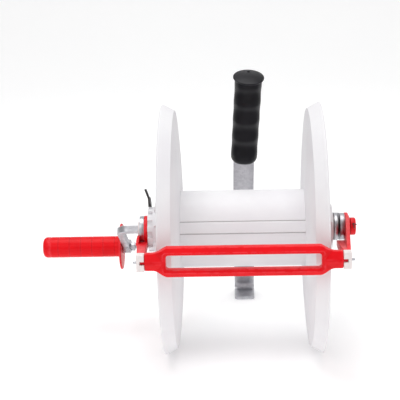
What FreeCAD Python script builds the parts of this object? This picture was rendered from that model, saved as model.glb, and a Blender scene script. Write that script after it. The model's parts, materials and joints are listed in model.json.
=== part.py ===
import FreeCAD, Part
import math
import os

import Sketcher

# Hand-cranked reel for electric fence wire, standing on its two flange rims and on the foot of its handle.
# Row frame: origin under the foot on the ground, X along the axle towards the side without the crank,
# Y away from the wire guide, Z up. Every piece is drawn about the axle centre and then placed from it.

Vector = FreeCAD.Vector
doc = FreeCAD.newDocument("fence_reel")
sheet = doc.addObject("Spreadsheet::Sheet", "Size")

DIMENSIONS = {
    # spool
    "flange_radius": 140.0,
    "flange_wall": 3.0,
    "crease_radius": 132.8,
    "lip_flare": 13.3,
    "rim_round": 1.05,
    "dish_radius": 797.0,
    "drum_radius": 43.0,
    "drum_wall": 3.0,
    "drum_length": 136.6,
    "spigot_depth": 6.0,
    "spigot_wall": 2.6,
    "seam_width": 13.0,
    "seam_height": 0.8,
    "seam_angle": 15.5,
    "lug_radius": 5.0,
    "lug_circle": 35.2,
    "lug_gap": 0.5,
    "boss_outer": 25.0,
    "boss_wall": 7.0,
    "boss_draft": 2.0,
    "hub_radius": 10.0,
    "rib_thick": 2.4,
    "rib_count": 8,
    "rib_tip_radius": 127.0,
    "rib_tip_height": 3.0,
    "rib_drop": 1.0,
    "spoke_drop": 3.0,
    "wire_hole_radius": 3.0,
    "wire_hole_circle": 52.0,
    # screws
    "screw_radius": 2.1,
    "screw_head_radius": 4.3,
    "screw_head_height": 2.8,
    "screw_length": 16.0,
    "screw_fit": 0.2,
    "thread_fit": 0.1,
    "close_fit": 0.05,
    "overrun": 1.0,
    # lock ring and lever
    "ring_thick": 5.6,
    "ring_bore": 16.0,
    "notch_count": 12,
    "notch_width": 7.2,
    "notch_taper": 0.4,
    "notch_depth": 3.4,
    "ring_screw_radius": 1.4,
    "ring_screw_circle": 20.4,
    "ring_screw_head_radius": 2.1,
    "ring_screw_head_height": 1.5,
    "ring_screw_sunk": 1.8,
    "ring_screw_length": 11.0,
    "lever_thick": 2.0,
    "lever_eye_radius": 5.0,
    "lever_pivot_along": 33.5,
    "lever_pivot_up": 6.1,
    "lever_width": 7.5,
    "lever_lift": 5.6,
    "tooth_width": 2.4,
    "lever_pin_radius": 2.5,
    "lever_gap": 0.7,
    "lever_tab_height": 9.0,
    "lever_tab_lean": 20.0,
    "lever_from": -4.0,
    "lever_to": 96.0,
    "tooth_root": 2.0,
    "tab_root": 1.5,
    "lever_pin_shoulder": 1.5,
    "lever_pin_head": 1.0,
    "lever_pin_end": 0.6,
    # axle and crank
    "bar_side": 8.0,
    "bar_edge": 0.8,
    "collar_floor": 1.4,
    "crank_stand": 27.0,
    "crank_throw": 80.0,
    "crank_angle": 29.0,
    "crank_bend": 5.0,
    "crank_end_round": 8.0,
    "bush_radius": 7.0,
    "bush_fit": 0.06,
    "bush_collar": 1.8,
    "bush_collar_radius": 13.0,
    "bush_collar_small": 9.4,
    "ring_fit": 0.3,
    "square_fit": 0.1,
    # crank grip
    "grip_radius": 12.3,
    "grip_length": 92.2,
    "guard_radius": 27.2,
    "guard_thick": 2.6,
    "guard_fillet": 1.2,
    "grip_gap": 0.5,
    "spindle_radius": 4.4,
    "spindle_fit": 0.07,
    "spindle_head_radius": 7.5,
    "spindle_head_height": 5.0,
    "head_seat_depth": 12.0,
    "head_room": 1.0,
    "head_bevel": 1.0,
    "thread_radius": 3.0,
    "nut_flats": 10.0,
    "nut_height": 5.0,
    "thread_spare": 2.6,
    "thread_bevel": 0.6,
    "spindle_washer_radius": 8.0,
    "spindle_washer_thick": 1.2,
    "end_cap_length": 9.0,
    "end_cap_round": 5.0,
    "plug_length": 5.0,
    # steel bow
    "bow_half": 109.1,
    "bow_shift": -0.7,
    "bow_thick": 5.0,
    "bow_height": 30.0,
    "bow_bend": 9.0,
    "bow_reach": 177.0,
    "bow_nose": 15.0,
    "bow_drop": 13.7,
    "nose_flat": 1.5,
    "nose_room": 1.5,
    # right hand stack
    "washer_radius": 15.5,
    "washer_thick": 4.2,
    "brake_spring_radius": 12.5,
    "brake_spring_thick": 0.7,
    "brake_spring_height": 2.3,
    "stack_gap": 0.15,
    "collar_radius": 9.8,
    "collar_length": 5.7,
    "collar_gap": 0.5,
    "collar_round": 2.6,
    "bar_end_gap": 0.3,
    "split_pin_radius": 1.0,
    "split_pin_inset": 2.3,
    "split_pin_stand": 1.2,
    "split_pin_eye": 2.2,
    # wire guide
    "guide_reach": 152.5,
    "guide_rise": 6.2,
    "guide_depth": 11.0,
    "guide_height": 30.5,
    "guide_end_height": 17.5,
    "guide_half": 98.5,
    "guide_shoulder_in": 77.0,
    "guide_shoulder_out": 88.0,
    "slot_half": 77.4,
    "slot_height": 15.0,
    "slot_corner": 3.0,
    "ridge_height": 3.2,
    "end_slope_depth": 4.4,
    "skim": 0.01,
    "guide_slope": 2.4,
    "block_width": 7.8,
    "block_gap": 0.3,
    "block_round": 1.2,
    "trunnion_radius": 2.6,
    "trunnion_length": 4.5,
    "pivot_pin_radius": 1.3,
    "pivot_pin_stand": 3.6,
    "pivot_pin_inset": 1.2,
    "pin_fit": 0.02,
    "running_fit": 0.08,
    "arm_plate": 4.0,
    "arm_cheek": 2.8,
    "arm_hub_radius": 15.5,
    "arm_boss_height": 2.6,
    "arm_boss_edge": 1.0,
    "arm_edge": 3.5,
    "arm_back": 8.0,
    "beam_spare": 3.0,
    "beam_inset": 4.8,
    "beam_step": 4.5,
    "strip_lap": 0.5,
    "cheek_neck": 9.0,
    "cheek_front": 24.0,
    "cheek_point": 34.0,
    "cheek_lift": 1.5,
    "collar_room": 0.5,
    # handle
    "handle_shift": 2.2,
    "strap_width": 25.5,
    "strap_thick": 4.0,
    "strap_bend": 8.0,
    "seat_half": 19.0,
    "foot_heel": 212.0,
    "foot_length": 44.0,
    "foot_corner": 5.0,
    "handle_lean": 21.3,
    "strap_sideways": 1.0,
    "grip_sideways": 3.45,
    "handle_grip_length": 116.0,
    "handle_grip_start": 75.0,
    "handle_grip_width": 32.6,
    "grip_bottom_round": 8.0,
    "grip_bottom_share": 0.55,
    "groove_side_share": 0.12,
    "handle_grip_depth": 27.0,
    "finger_pitch": 24.3,
    "finger_groove": 3.4,
    "finger_count": 4,
    "finger_first": 12.9,
    "tang_width": 16.0,
    "tang_end_gap": 8.0,
    "tang_shoulder": 5.0,
    "tang_skew": 0.3,
    "strap_into_grip": 2.0,
    "grip_cap_radius": 18.5,
    "grip_cap_rim": 2.6,
    "grip_cap_bevel": 0.8,
    "grip_cap_height": 4.5,
    "grip_cap_hole": 2.2,
    "grip_cap_hole_back": 9.5,
    "grip_cap_floor": 1.8,
    "rivet_radius": 3.0,
    "rivet_head_radius": 5.4,
    "rivet_head_top": 3.0,
    "rivet_head_height": 2.6,
    "rivet_spacing": 18.0,
}

for row, (alias, size) in enumerate(DIMENSIONS.items(), start=1):
    sheet.set("A%d" % row, alias)
    sheet.set("B%d" % row, repr(size))
    sheet.setAlias("B%d" % row, alias)
doc.recompute()


def size(text):
    """The number that an expression on the sheet gives now."""
    return float(sheet.evalExpression(text))


# Places that several pieces share, each written once as an expression on the sheet.
WEB = "Size.drum_length / 2"
WEB_OUT = "(Size.drum_length / 2 + Size.flange_wall)"
LIP_RISE = "(Size.flange_radius - Size.crease_radius)"
LIP_LENGTH = "sqrt(pow(Size.lip_flare; 2) + pow(%s; 2))" % LIP_RISE
BOW_LEFT_IN = "(-Size.bow_half + Size.bow_shift)"
BOW_RIGHT_IN = "(Size.bow_half + Size.bow_shift)"
BOW_LEFT_OUT = "(-Size.bow_half + Size.bow_shift - Size.bow_thick)"
BOW_RIGHT_OUT = "(Size.bow_half + Size.bow_shift + Size.bow_thick)"
SPRING_IN = "(%s - Size.stack_gap - Size.brake_spring_height)" % BOW_RIGHT_IN
WASHER_OUT = "(%s - Size.stack_gap)" % SPRING_IN
WASHER_IN = "(%s - Size.washer_thick)" % WASHER_OUT
BUSH_RIGHT_IN = "(%s - Size.stack_gap - Size.bush_collar)" % WASHER_IN
BUSH_LEFT_OUT = "(%s - Size.stack_gap - Size.bush_collar)" % BOW_LEFT_OUT
BOSS_REACH = "(%s - Size.stack_gap)" % BUSH_RIGHT_IN
RING_OUT = "(%s + Size.ring_thick)" % BOSS_REACH
GUIDE_FRONT = "(-Size.guide_reach - Size.guide_depth / 2)"
GUIDE_BACK = "(-Size.guide_reach + Size.guide_depth / 2)"
BLOCK_IN = "(Size.guide_half + Size.block_gap)"
BLOCK_OUT = "(Size.guide_half + Size.block_gap + Size.block_width)"
CRANK_OUT = "(%s - Size.crank_stand)" % BOW_LEFT_OUT
CRANK_IN = "(%s + Size.bar_side)" % CRANK_OUT
THREAD_END = "(%s + Size.spindle_washer_thick + Size.nut_height + Size.thread_spare)" % CRANK_IN
GUARD_IN = "(%s - Size.grip_gap)" % CRANK_OUT
GUARD_OUT = "(%s - Size.guard_thick)" % GUARD_IN
GRIP_END = "(%s - Size.grip_length + Size.end_cap_length)" % GUARD_OUT
HEAD_SEAT = "(%s + Size.head_seat_depth)" % GRIP_END
COLLAR_IN = "(%s + Size.arm_plate + Size.arm_boss_height + Size.collar_gap)" % BOW_RIGHT_OUT
COLLAR_MID = "(%s + Size.split_pin_inset)" % COLLAR_IN
AXLE_END = "(%s + Size.collar_length - Size.collar_floor)" % COLLAR_IN
RING_SCREW_ANGLE = "(180 / Size.notch_count)"
RING_SCREW_Y = "Size.ring_screw_circle * cos(%s)" % RING_SCREW_ANGLE
RING_SCREW_Z = "Size.ring_screw_circle * sin(%s)" % RING_SCREW_ANGLE
SPIGOT_END = "(%s - Size.spigot_depth)" % WEB
DISH_WALL = "Size.dish_radius - Size.flange_wall"
ARC_EASE = "1.0001"  # makes a quarter arc's radius a hair larger, so that its ends stay within reach
ARM_TOP = "(Size.guide_rise + Size.guide_end_height / 2)"
ARM_HUB_EDGE = "(-Size.arm_hub_radius - Size.arm_edge)"
ARM_BACK = "-Size.arm_back"
ARM_LOW = "(-Size.arm_hub_radius - Size.beam_spare)"
LEVER_BACK = "(Size.lever_pivot_along * cos(Size.bow_drop) + Size.lever_pivot_up * sin(Size.bow_drop))"
LEVER_HIGH = "(-Size.lever_pivot_along * sin(Size.bow_drop) + Size.lever_pivot_up * cos(Size.bow_drop))"
LEVER_OUT = "(-%s)" % RING_OUT
LEVER_IN = "(%s + Size.lever_thick)" % LEVER_OUT


def new_body(name):
    return doc.addObject("PartDesign::Body", name)


def origin_plane(body, role):
    return next(item for item in body.Origin.OriginFeatures if item.Role == role)


def new_sketch(body, name, role, start="0"):
    """An empty sketch on one of the body's own planes, moved along its normal by start."""
    sketch = body.newObject("Sketcher::SketchObject", name)
    sketch.AttachmentSupport = [(origin_plane(body, role), "")]
    sketch.MapMode = "FlatFace"
    sketch.setExpression("AttachmentOffset.Base.z", start)
    return sketch


def pin_point(sketch, edge, end, point):
    """Tie one end of an edge to the two expressions of its place."""
    for kind, text in zip(("DistanceX", "DistanceY"), point):
        index = sketch.addConstraint(Sketcher.Constraint(kind, -1, 1, edge, end, size(text)))
        sketch.setExpression("Constraints[%d]" % index, text)


def draw_outline(sketch, points):
    """Close an outline through points of (x, y); a third item is the radius of the arc that leaves it."""
    first = sketch.GeometryCount
    places = [Vector(size(point[0]), size(point[1]), 0) for point in points]
    count = len(points)
    for index, point in enumerate(points):
        start, finish = places[index], places[(index + 1) % count]
        if len(point) == 2:
            sketch.addGeometry(Part.LineSegment(start, finish))
            continue
        radius = size(point[2])
        chord = finish - start
        rise = abs(radius) - math.sqrt(radius ** 2 - (chord.Length / 2) ** 2)
        side = Vector(chord.y, -chord.x, 0).normalize() * math.copysign(rise, radius)
        arc = Part.Arc(start, (start + finish) / 2 + side, finish)
        sketch.addGeometry(arc)
    for index, point in enumerate(points):
        edge = first + index
        following = first + (index + 1) % count
        corner = places[(index + 1) % count]
        ends = (edge, end_at(sketch, edge, corner), following, end_at(sketch, following, corner))
        sketch.addConstraint(Sketcher.Constraint("Coincident", *ends))
    for index, point in enumerate(points):
        edge = first + index
        pin_point(sketch, edge, end_at(sketch, edge, places[index]), point[:2])
        if len(point) == 3:
            text = "abs(%s)" % point[2]
            held = sketch.addConstraint(Sketcher.Constraint("Radius", edge, size(text)))
            sketch.setExpression("Constraints[%d]" % held, text)


def end_at(sketch, edge, place):
    """1 if the edge starts at the place, 2 if it ends there."""
    return 1 if (sketch.getPoint(edge, 1) - place).Length < (sketch.getPoint(edge, 2) - place).Length else 2


def draw_circle(sketch, x, y, radius):
    edge = sketch.addGeometry(Part.Circle(Vector(size(x), size(y), 0), Vector(0, 0, 1), size(radius)))
    pin_point(sketch, edge, 3, (x, y))
    index = sketch.addConstraint(Sketcher.Constraint("Radius", edge, size(radius)))
    sketch.setExpression("Constraints[%d]" % index, radius)


def draw_box(sketch, low_x, low_y, high_x, high_y):
    draw_outline(sketch, [(low_x, low_y), (high_x, low_y), (high_x, high_y), (low_x, high_y)])


def pad(body, name, sketch, length, both=False, backwards=False):
    feature = body.newObject("PartDesign::Pad", name)
    feature.Profile = sketch
    feature.setExpression("Length", length)
    feature.Midplane = both
    feature.Reversed = backwards
    doc.recompute()
    return feature


def pocket(body, name, sketch, length, both=False, backwards=False):
    """Cut the sketch out of the body and check that something was cut."""
    before = body.Tip.Shape.Volume
    feature = body.newObject("PartDesign::Pocket", name)
    feature.Profile = sketch
    feature.setExpression("Length", length)
    feature.Midplane = both
    feature.Reversed = backwards
    doc.recompute()
    if feature.Shape.Volume >= before - 1e-6:
        raise RuntimeError(name + " cuts nothing")
    return feature


def turn(body, name, sketch, cut=False):
    """Revolve the sketch about the body's X axis."""
    feature = body.newObject("PartDesign::Groove" if cut else "PartDesign::Revolution", name)
    feature.Profile = sketch
    feature.ReferenceAxis = (sketch, ["H_Axis"])
    feature.Angle = 360
    doc.recompute()
    return feature


def polar(body, name, features, count):
    """Repeat features round the body's X axis."""
    feature = body.newObject("PartDesign::PolarPattern", name)
    feature.Originals = features
    feature.Axis = (origin_plane(body, "X_Axis"), [""])
    feature.Angle = 360
    feature.setExpression("Occurrences", count)
    body.Tip = feature
    doc.recompute()
    return feature


def soften(body, name, edges, radius, chamfer=False):
    """Round or chamfer the tip's edges that pass the test."""
    base = body.Tip
    names = ["Edge%d" % (index + 1) for index, edge in enumerate(base.Shape.Edges) if edges(edge)]
    if not names:
        raise RuntimeError(name + " finds no edge")
    feature = body.newObject("PartDesign::Chamfer" if chamfer else "PartDesign::Fillet", name)
    feature.Base = (base, names)
    feature.setExpression("Size" if chamfer else "Radius", radius)
    doc.recompute()
    return feature


def place(item, x="0", y="0", z="0", axis=None, angle="0"):
    """Put a piece at a place given from the axle centre, turned about one axis."""
    if axis is not None:
        item.Placement.Rotation = FreeCAD.Rotation(axis, 1)
        item.setExpression("Placement.Rotation.Angle", angle)
    item.setExpression("Placement.Base.x", "%s - Size.handle_shift" % x)
    item.setExpression("Placement.Base.y", "%s - Size.foot_heel + Size.foot_length / 2" % y)
    item.setExpression("Placement.Base.z", "%s + Size.flange_radius" % z)


def to_row_frame():
    """The same move for a shape that is made in code."""
    foot_middle = size("Size.foot_heel - Size.foot_length / 2")
    return Vector(-size("Size.handle_shift"), -foot_middle, size("Size.flange_radius"))


def made_piece(name, shape):
    item = doc.addObject("Part::Feature", name)
    item.Shape = shape
    item.Placement.Base = shape.Placement.Base + to_row_frame()
    return item


def near(value, target, slack=0.05):
    return abs(value - target) < slack


# The spool: a drum between two dished flanges.

def make_drum():
    body = new_body("drum")
    sketch = new_sketch(body, "drum_tube", "YZ_Plane")
    draw_circle(sketch, "0", "0", "Size.drum_radius")
    draw_circle(sketch, "0", "0", "Size.drum_radius - Size.drum_wall")
    pad(body, "drum_wall", sketch, "Size.drum_length", both=True)
    sketch = new_sketch(body, "drum_lug_outline", "YZ_Plane")
    draw_circle(sketch, "Size.lug_circle", "0", "Size.lug_radius")
    lug_length = "Size.drum_length - 2 * (Size.spigot_depth + Size.lug_gap)"
    lug = pad(body, "drum_lug", sketch, lug_length, both=True)
    polar(body, "drum_lugs", [lug], "4")
    sketch = new_sketch(body, "drum_lug_bore", "YZ_Plane")
    draw_circle(sketch, "Size.lug_circle", "0", "Size.screw_radius")
    through = "Size.drum_length + 2 * Size.overrun"
    bore = pocket(body, "drum_lug_hole", sketch, through, both=True)
    polar(body, "drum_lug_holes", [bore], "4")
    sketch = new_sketch(body, "seam_outline", "YZ_Plane")
    sketch.AttachmentOffset = FreeCAD.Placement(Vector(), FreeCAD.Rotation(Vector(0, 0, 1), 1))
    sketch.setExpression("AttachmentOffset.Rotation.Angle", "180 - Size.seam_angle")
    half = "Size.seam_width / 2"
    top = "sqrt(pow(Size.drum_radius; 2) - pow(%s; 2)) + Size.seam_height" % half
    draw_box(sketch, "Size.drum_radius - Size.drum_wall / 2", "-" + half, top, half)
    pad(body, "seam_strip", sketch, "Size.drum_length", both=True)
    place(body)
    return body


def dish_at(radius_at, arc):
    """X of the dished disc at a distance from the axle: it bends away from the web's end on an arc."""
    drop = "sqrt(pow(%s; 2) - pow(%s - Size.drum_radius; 2))" % (arc, radius_at)
    return "(%s + Size.dish_radius - %s)" % (WEB, drop)


def flange_shell(body, name):
    """Web, dished disc and flared lip as one turned wall; the lip keeps the wall's thickness."""
    wall_up = "Size.flange_wall * Size.lip_flare / %s" % LIP_LENGTH
    wall_out = "Size.flange_wall * %s / %s" % (LIP_RISE, LIP_LENGTH)
    crease_in = dish_at("Size.crease_radius", "Size.dish_radius")
    crease_shift = "((Size.flange_wall - %s) / Size.lip_flare * %s)" % (wall_out, LIP_RISE)
    crease_out_radius = "(Size.crease_radius + %s - %s)" % (crease_shift, wall_up)
    rim = "%s + Size.lip_flare" % crease_in
    sketch = new_sketch(body, name + "_profile", "XY_Plane")
    draw_outline(sketch, [
        (WEB, "0"),
        (WEB, "Size.drum_radius", "-Size.dish_radius"),
        (crease_in, "Size.crease_radius"),
        (rim, "Size.flange_radius"),
        ("%s + %s" % (rim, wall_out), "Size.flange_radius - " + wall_up),
        (dish_at(crease_out_radius, DISH_WALL), crease_out_radius, DISH_WALL),
        (WEB_OUT, "Size.drum_radius"),
        (WEB_OUT, "0"),
    ])
    turn(body, name + "_shell", sketch)
    inside_wall = size("Size.flange_radius - Size.flange_wall")
    soften(body, name + "_rim", lambda edge: edge.Curve.TypeId == "Part::GeomCircle"
           and edge.Curve.Radius > inside_wall, "Size.rim_round")


def flange_hub(body, name):
    """Square-bored hub tube, boss wall round it, and the spigot that centres the drum."""
    sketch = new_sketch(body, name + "_hub_profile", "XY_Plane")
    draw_box(sketch, SPIGOT_END, "0", BOSS_REACH, "Size.hub_radius")
    turn(body, name + "_hub", sketch)
    sketch = new_sketch(body, name + "_boss_profile", "XY_Plane")
    draw_outline(sketch, [
        ("%s + Size.flange_wall / 2" % WEB, "Size.boss_outer - Size.boss_wall"),
        (BOSS_REACH, "Size.boss_outer - Size.boss_wall"),
        (BOSS_REACH, "Size.boss_outer"),
        ("%s + Size.flange_wall / 2" % WEB, "Size.boss_outer + Size.boss_draft"),
    ])
    turn(body, name + "_boss", sketch)
    sketch = new_sketch(body, name + "_spigot_profile", "XY_Plane")
    top = "Size.drum_radius - Size.drum_wall - Size.screw_fit"
    draw_box(sketch, SPIGOT_END, top + " - Size.spigot_wall", WEB + " + Size.flange_wall / 2", top)
    turn(body, name + "_spigot", sketch)


def turn_half_pitch(sketch):
    """Turn the sketch about the axle so that the ribs stand between the screws."""
    sketch.AttachmentOffset = FreeCAD.Placement(Vector(), FreeCAD.Rotation(Vector(1, 0, 0), 1))
    sketch.setExpression("AttachmentOffset.Rotation.Angle", "180 / Size.rib_count")


def flange_ribs(body, name):
    """Radial ribs on the outside, deep at the boss and low near the lip."""
    sketch = new_sketch(body, name + "_rib_profile", "XY_Plane")
    turn_half_pitch(sketch)
    rib_foot = "%s + Size.flange_wall / 2" % WEB
    rib_arc = "Size.dish_radius - Size.flange_wall / 2"
    far_foot = dish_at("Size.rib_tip_radius", rib_arc)
    draw_outline(sketch, [
        (rib_foot, "Size.boss_outer - Size.overrun"),
        (BOSS_REACH + " - Size.rib_drop", "Size.boss_outer - Size.overrun"),
        (far_foot + " + Size.rib_tip_height", "Size.rib_tip_radius"),
        (far_foot, "Size.rib_tip_radius", rib_arc),
        (rib_foot, "Size.drum_radius"),
    ])
    rib = pad(body, name + "_rib", sketch, "Size.rib_thick", both=True)
    sketch = new_sketch(body, name + "_spoke_profile", "XY_Plane")
    turn_half_pitch(sketch)
    draw_box(sketch, rib_foot, "Size.hub_radius - Size.overrun",
             BOSS_REACH + " - Size.spoke_drop", "Size.boss_outer - Size.boss_wall + Size.overrun")
    spoke = pad(body, name + "_spoke", sketch, "Size.rib_thick", both=True)
    polar(body, name + "_ribs", [rib, spoke], "Size.rib_count")


def square_hole(body, name, start, length, turned="-Size.crank_angle"):
    """Square hole for the axle bar, turned with the crank arm."""
    half = "(Size.bar_side / 2 + Size.square_fit)"
    sketch = new_sketch(body, name + "_square", "YZ_Plane", start)
    sketch.AttachmentOffset = FreeCAD.Placement(Vector(), FreeCAD.Rotation(Vector(0, 0, 1), 1))
    sketch.setExpression("AttachmentOffset.Rotation.Angle", turned)
    draw_box(sketch, "-" + half, "-" + half, half, half)
    pocket(body, name + "_square_hole", sketch, length, backwards=True)


def flange_holes(body, name, bar_turned):
    """Square hole for the bar, screw holes over the drum's lugs, a hole for the wire's end, pilot holes."""
    start = SPIGOT_END + " - Size.overrun"
    square_hole(body, name, start, BOSS_REACH, bar_turned)
    sketch = new_sketch(body, name + "_screw_place", "YZ_Plane", start)
    draw_circle(sketch, "Size.lug_circle", "0", "Size.screw_radius + Size.screw_fit")
    through = "Size.spigot_depth + Size.flange_wall + 2 * Size.overrun"
    hole = pocket(body, name + "_screw_hole", sketch, through, backwards=True)
    polar(body, name + "_screw_holes", [hole], "4")
    sketch = new_sketch(body, name + "_wire_place", "YZ_Plane", WEB)
    draw_circle(sketch, "-Size.wire_hole_circle", "0", "Size.wire_hole_radius")
    pocket(body, name + "_wire_hole", sketch, "Size.flange_wall * 4", both=True)
    sketch = new_sketch(body, name + "_pilot_place", "YZ_Plane", BOSS_REACH)
    draw_circle(sketch, RING_SCREW_Y, "-" + RING_SCREW_Z, "Size.ring_screw_radius + Size.thread_fit")
    pilot = "Size.ring_screw_length + Size.ring_screw_sunk - Size.ring_thick + Size.overrun"
    hole = pocket(body, name + "_pilot_hole", sketch, pilot)
    polar(body, name + "_pilot_holes", [hole], "4")


def make_flange(name, turned, bar_turned):
    body = new_body(name)
    flange_shell(body, name)
    flange_hub(body, name)
    flange_ribs(body, name)
    flange_holes(body, name, bar_turned)
    place(body, axis=Vector(0, 0, 1), angle=turned)
    return body


def screw_shape(head_radius, head_height, radius, length):
    """A pan-head screw along +X, its head's underside at the origin, its top edge rounded."""
    along = Vector(1, 0, 0)
    head = Part.makeCylinder(head_radius, head_height, along * -head_height, along)
    edge = [item for item in head.Edges if near(item.CenterOfMass.x, -head_height) and item.isClosed()]
    head = head.makeFillet(head_height * 0.4, edge)
    shank = Part.makeCylinder(radius, length, Vector(), along)
    return head.fuse(shank).removeSplitter()


def ring_of(shape, count, radius, first_angle, x):
    """Copies of a shape that lies along X, set on a circle round the axle."""
    copies = []
    for index in range(count):
        copy = shape.copy()
        copy.translate(Vector(x, radius, 0))
        copy.rotate(Vector(), Vector(1, 0, 0), first_angle + index * 360.0 / count)
        copies.append(copy)
    return copies


def make_flange_screws():
    screw = screw_shape(size("Size.screw_head_radius"), size("Size.screw_head_height"),
                        size("Size.screw_radius - Size.close_fit"), size("Size.screw_length"))
    left = ring_of(screw, 4, size("Size.lug_circle"), 0.0, size("-" + WEB_OUT))
    mirrored = screw.mirror(Vector(), Vector(1, 0, 0))
    right = ring_of(mirrored, 4, size("Size.lug_circle"), 0.0, size(WEB_OUT))
    return made_piece("flange_screws", Part.makeCompound(left + right))


def make_lock_ring():
    """Notched ring on the end of the left boss, where the lock lever drops in."""
    body = new_body("lock_ring")
    sketch = new_sketch(body, "ring_outline", "YZ_Plane", "-" + RING_OUT)
    draw_circle(sketch, "0", "0", "Size.boss_outer")
    draw_circle(sketch, "0", "0", "Size.ring_bore")
    pad(body, "ring_disc", sketch, "Size.ring_thick")
    sketch = new_sketch(body, "notch_outline", "YZ_Plane", "-" + RING_OUT)
    half = "Size.notch_width / 2"
    draw_outline(sketch, [
        ("Size.boss_outer - Size.notch_depth", "-%s + Size.notch_taper" % half),
        ("Size.boss_outer + Size.overrun", "-" + half),
        ("Size.boss_outer + Size.overrun", half),
        ("Size.boss_outer - Size.notch_depth", "%s - Size.notch_taper" % half),
    ])
    notch = pocket(body, "notch", sketch, "Size.ring_thick", backwards=True)
    polar(body, "notches", [notch], "Size.notch_count")
    sketch = new_sketch(body, "ring_screw_place", "YZ_Plane", "-" + RING_OUT)
    draw_circle(sketch, RING_SCREW_Y, RING_SCREW_Z, "Size.ring_screw_radius + Size.thread_fit")
    hole = pocket(body, "ring_screw_hole", sketch, "Size.ring_thick", backwards=True)
    sketch = new_sketch(body, "ring_screw_seat_place", "YZ_Plane", "-" + RING_OUT)
    draw_circle(sketch, RING_SCREW_Y, RING_SCREW_Z, "Size.ring_screw_head_radius + Size.screw_fit")
    seat = pocket(body, "ring_screw_seat", sketch, "Size.ring_screw_sunk", backwards=True)
    polar(body, "ring_screw_holes", [hole, seat], "4")
    place(body)
    return body


# The axle, the crank and what turns with them.

def bar_place(body, x="0"):
    """Turn a piece so that its own Y runs along the crank arm."""
    place(body, x=x, axis=Vector(1, 0, 0), angle="-Size.crank_angle")


def make_crank_axle():
    """Square bar bent once: the axle, then the arm with a round eye for the grip's spindle."""
    body = new_body("crank_axle")
    half = "Size.bar_side / 2"
    outer = "(Size.crank_bend + Size.bar_side)"
    sketch = new_sketch(body, "bar_outline", "XY_Plane")
    draw_outline(sketch, [
        (AXLE_END, "-" + half),
        (AXLE_END, half),
        (CRANK_IN + " + Size.crank_bend", half, "-Size.crank_bend"),
        (CRANK_IN, half + " + Size.crank_bend"),
        (CRANK_IN, "Size.crank_throw"),
        (CRANK_OUT, "Size.crank_throw"),
        (CRANK_OUT, "-%s + %s" % (half, outer), outer),
        (CRANK_OUT + " + " + outer, "-" + half),
    ])
    pad(body, "bar", sketch, "Size.bar_side", both=True)
    side = size(half)
    shortest = size("Size.bar_side + Size.bar_edge")
    soften(body, "bar_edges", lambda edge: edge.Length > shortest
           and all(near(abs(vertex.Z), side) for vertex in edge.Vertexes), "Size.bar_edge", chamfer=True)
    sketch = new_sketch(body, "eye_outline", "YZ_Plane", CRANK_OUT)
    draw_circle(sketch, "Size.crank_throw", "0", "Size.crank_end_round")
    pad(body, "eye", sketch, "Size.bar_side")
    sketch = new_sketch(body, "eye_bore", "YZ_Plane", CRANK_OUT)
    draw_circle(sketch, "Size.crank_throw", "0", "Size.thread_radius + Size.thread_fit")
    pocket(body, "eye_hole", sketch, "Size.bar_side * 2.5", both=True)
    sketch = new_sketch(body, "pin_bore", "XZ_Plane")
    draw_circle(sketch, COLLAR_MID, "0", "Size.split_pin_radius + Size.thread_fit")
    pocket(body, "pin_hole", sketch, "Size.bar_side * 2", both=True)
    bar_place(body)
    return body


def make_bush(name, inner_end, outer_end, collar_low, collar_high, collar_radius):
    """Nylon bush, square inside on the bar and round outside in the steel bow."""
    body = new_body(name)
    sketch = new_sketch(body, name + "_barrel_profile", "XY_Plane")
    draw_box(sketch, inner_end, "0", outer_end, "Size.bush_radius")
    turn(body, name + "_barrel", sketch)
    sketch = new_sketch(body, name + "_collar_profile", "XY_Plane")
    draw_box(sketch, collar_low, "0", collar_high, collar_radius)
    turn(body, name + "_collar", sketch)
    through = "%s - %s + 2 * Size.overrun" % (outer_end, inner_end)
    square_hole(body, name, inner_end + " - Size.overrun", through)
    place(body)
    return body


def make_ring(name, low, high, bore, radius):
    """Plain ring turned about the axle."""
    body = new_body(name)
    sketch = new_sketch(body, name + "_profile", "XY_Plane")
    draw_box(sketch, low, bore, high, radius)
    turn(body, name + "_ring", sketch)
    place(body)
    return body


def make_brake_spring():
    """Dished spring washer that presses the spool against the bow and keeps it from running on."""
    body = new_body("brake_spring")
    sketch = new_sketch(body, "brake_spring_profile", "XY_Plane")
    bore = "Size.bush_radius + Size.ring_fit"
    draw_outline(sketch, [
        (SPRING_IN, "Size.brake_spring_radius"),
        (SPRING_IN + " + Size.brake_spring_height - Size.brake_spring_thick", bore),
        (SPRING_IN + " + Size.brake_spring_height", bore),
        (SPRING_IN + " + Size.brake_spring_thick", "Size.brake_spring_radius"),
    ])
    turn(body, "brake_spring_dish", sketch)
    place(body)
    return body


def make_axle_collar():
    """Domed red collar, pinned on the end of the bar."""
    body = new_body("axle_collar")
    sketch = new_sketch(body, "collar_profile", "XY_Plane")
    high = "%s + Size.collar_length" % COLLAR_IN
    draw_outline(sketch, [
        (COLLAR_IN, "0"),
        (high, "0"),
        (high, "Size.collar_radius - Size.collar_round", "Size.collar_round * " + ARC_EASE),
        (high + " - Size.collar_round", "Size.collar_radius"),
        (COLLAR_IN, "Size.collar_radius"),
    ])
    turn(body, "collar", sketch)
    depth = "%s - %s + Size.bar_end_gap + Size.overrun" % (AXLE_END, COLLAR_IN)
    square_hole(body, "collar", COLLAR_IN + " - Size.overrun", depth)
    sketch = new_sketch(body, "collar_pin_bore", "XZ_Plane")
    sketch.AttachmentOffset = FreeCAD.Placement(Vector(), FreeCAD.Rotation(Vector(1, 0, 0), 1))
    sketch.setExpression("AttachmentOffset.Rotation.Angle", "-Size.crank_angle")
    draw_circle(sketch, COLLAR_MID, "0", "Size.split_pin_radius + Size.thread_fit")
    pocket(body, "collar_pin_hole", sketch, "Size.collar_radius * 3", both=True)
    place(body)
    return body


def rod(start, finish, radius):
    way = finish - start
    return Part.makeCylinder(radius, way.Length, start, way)


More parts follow.
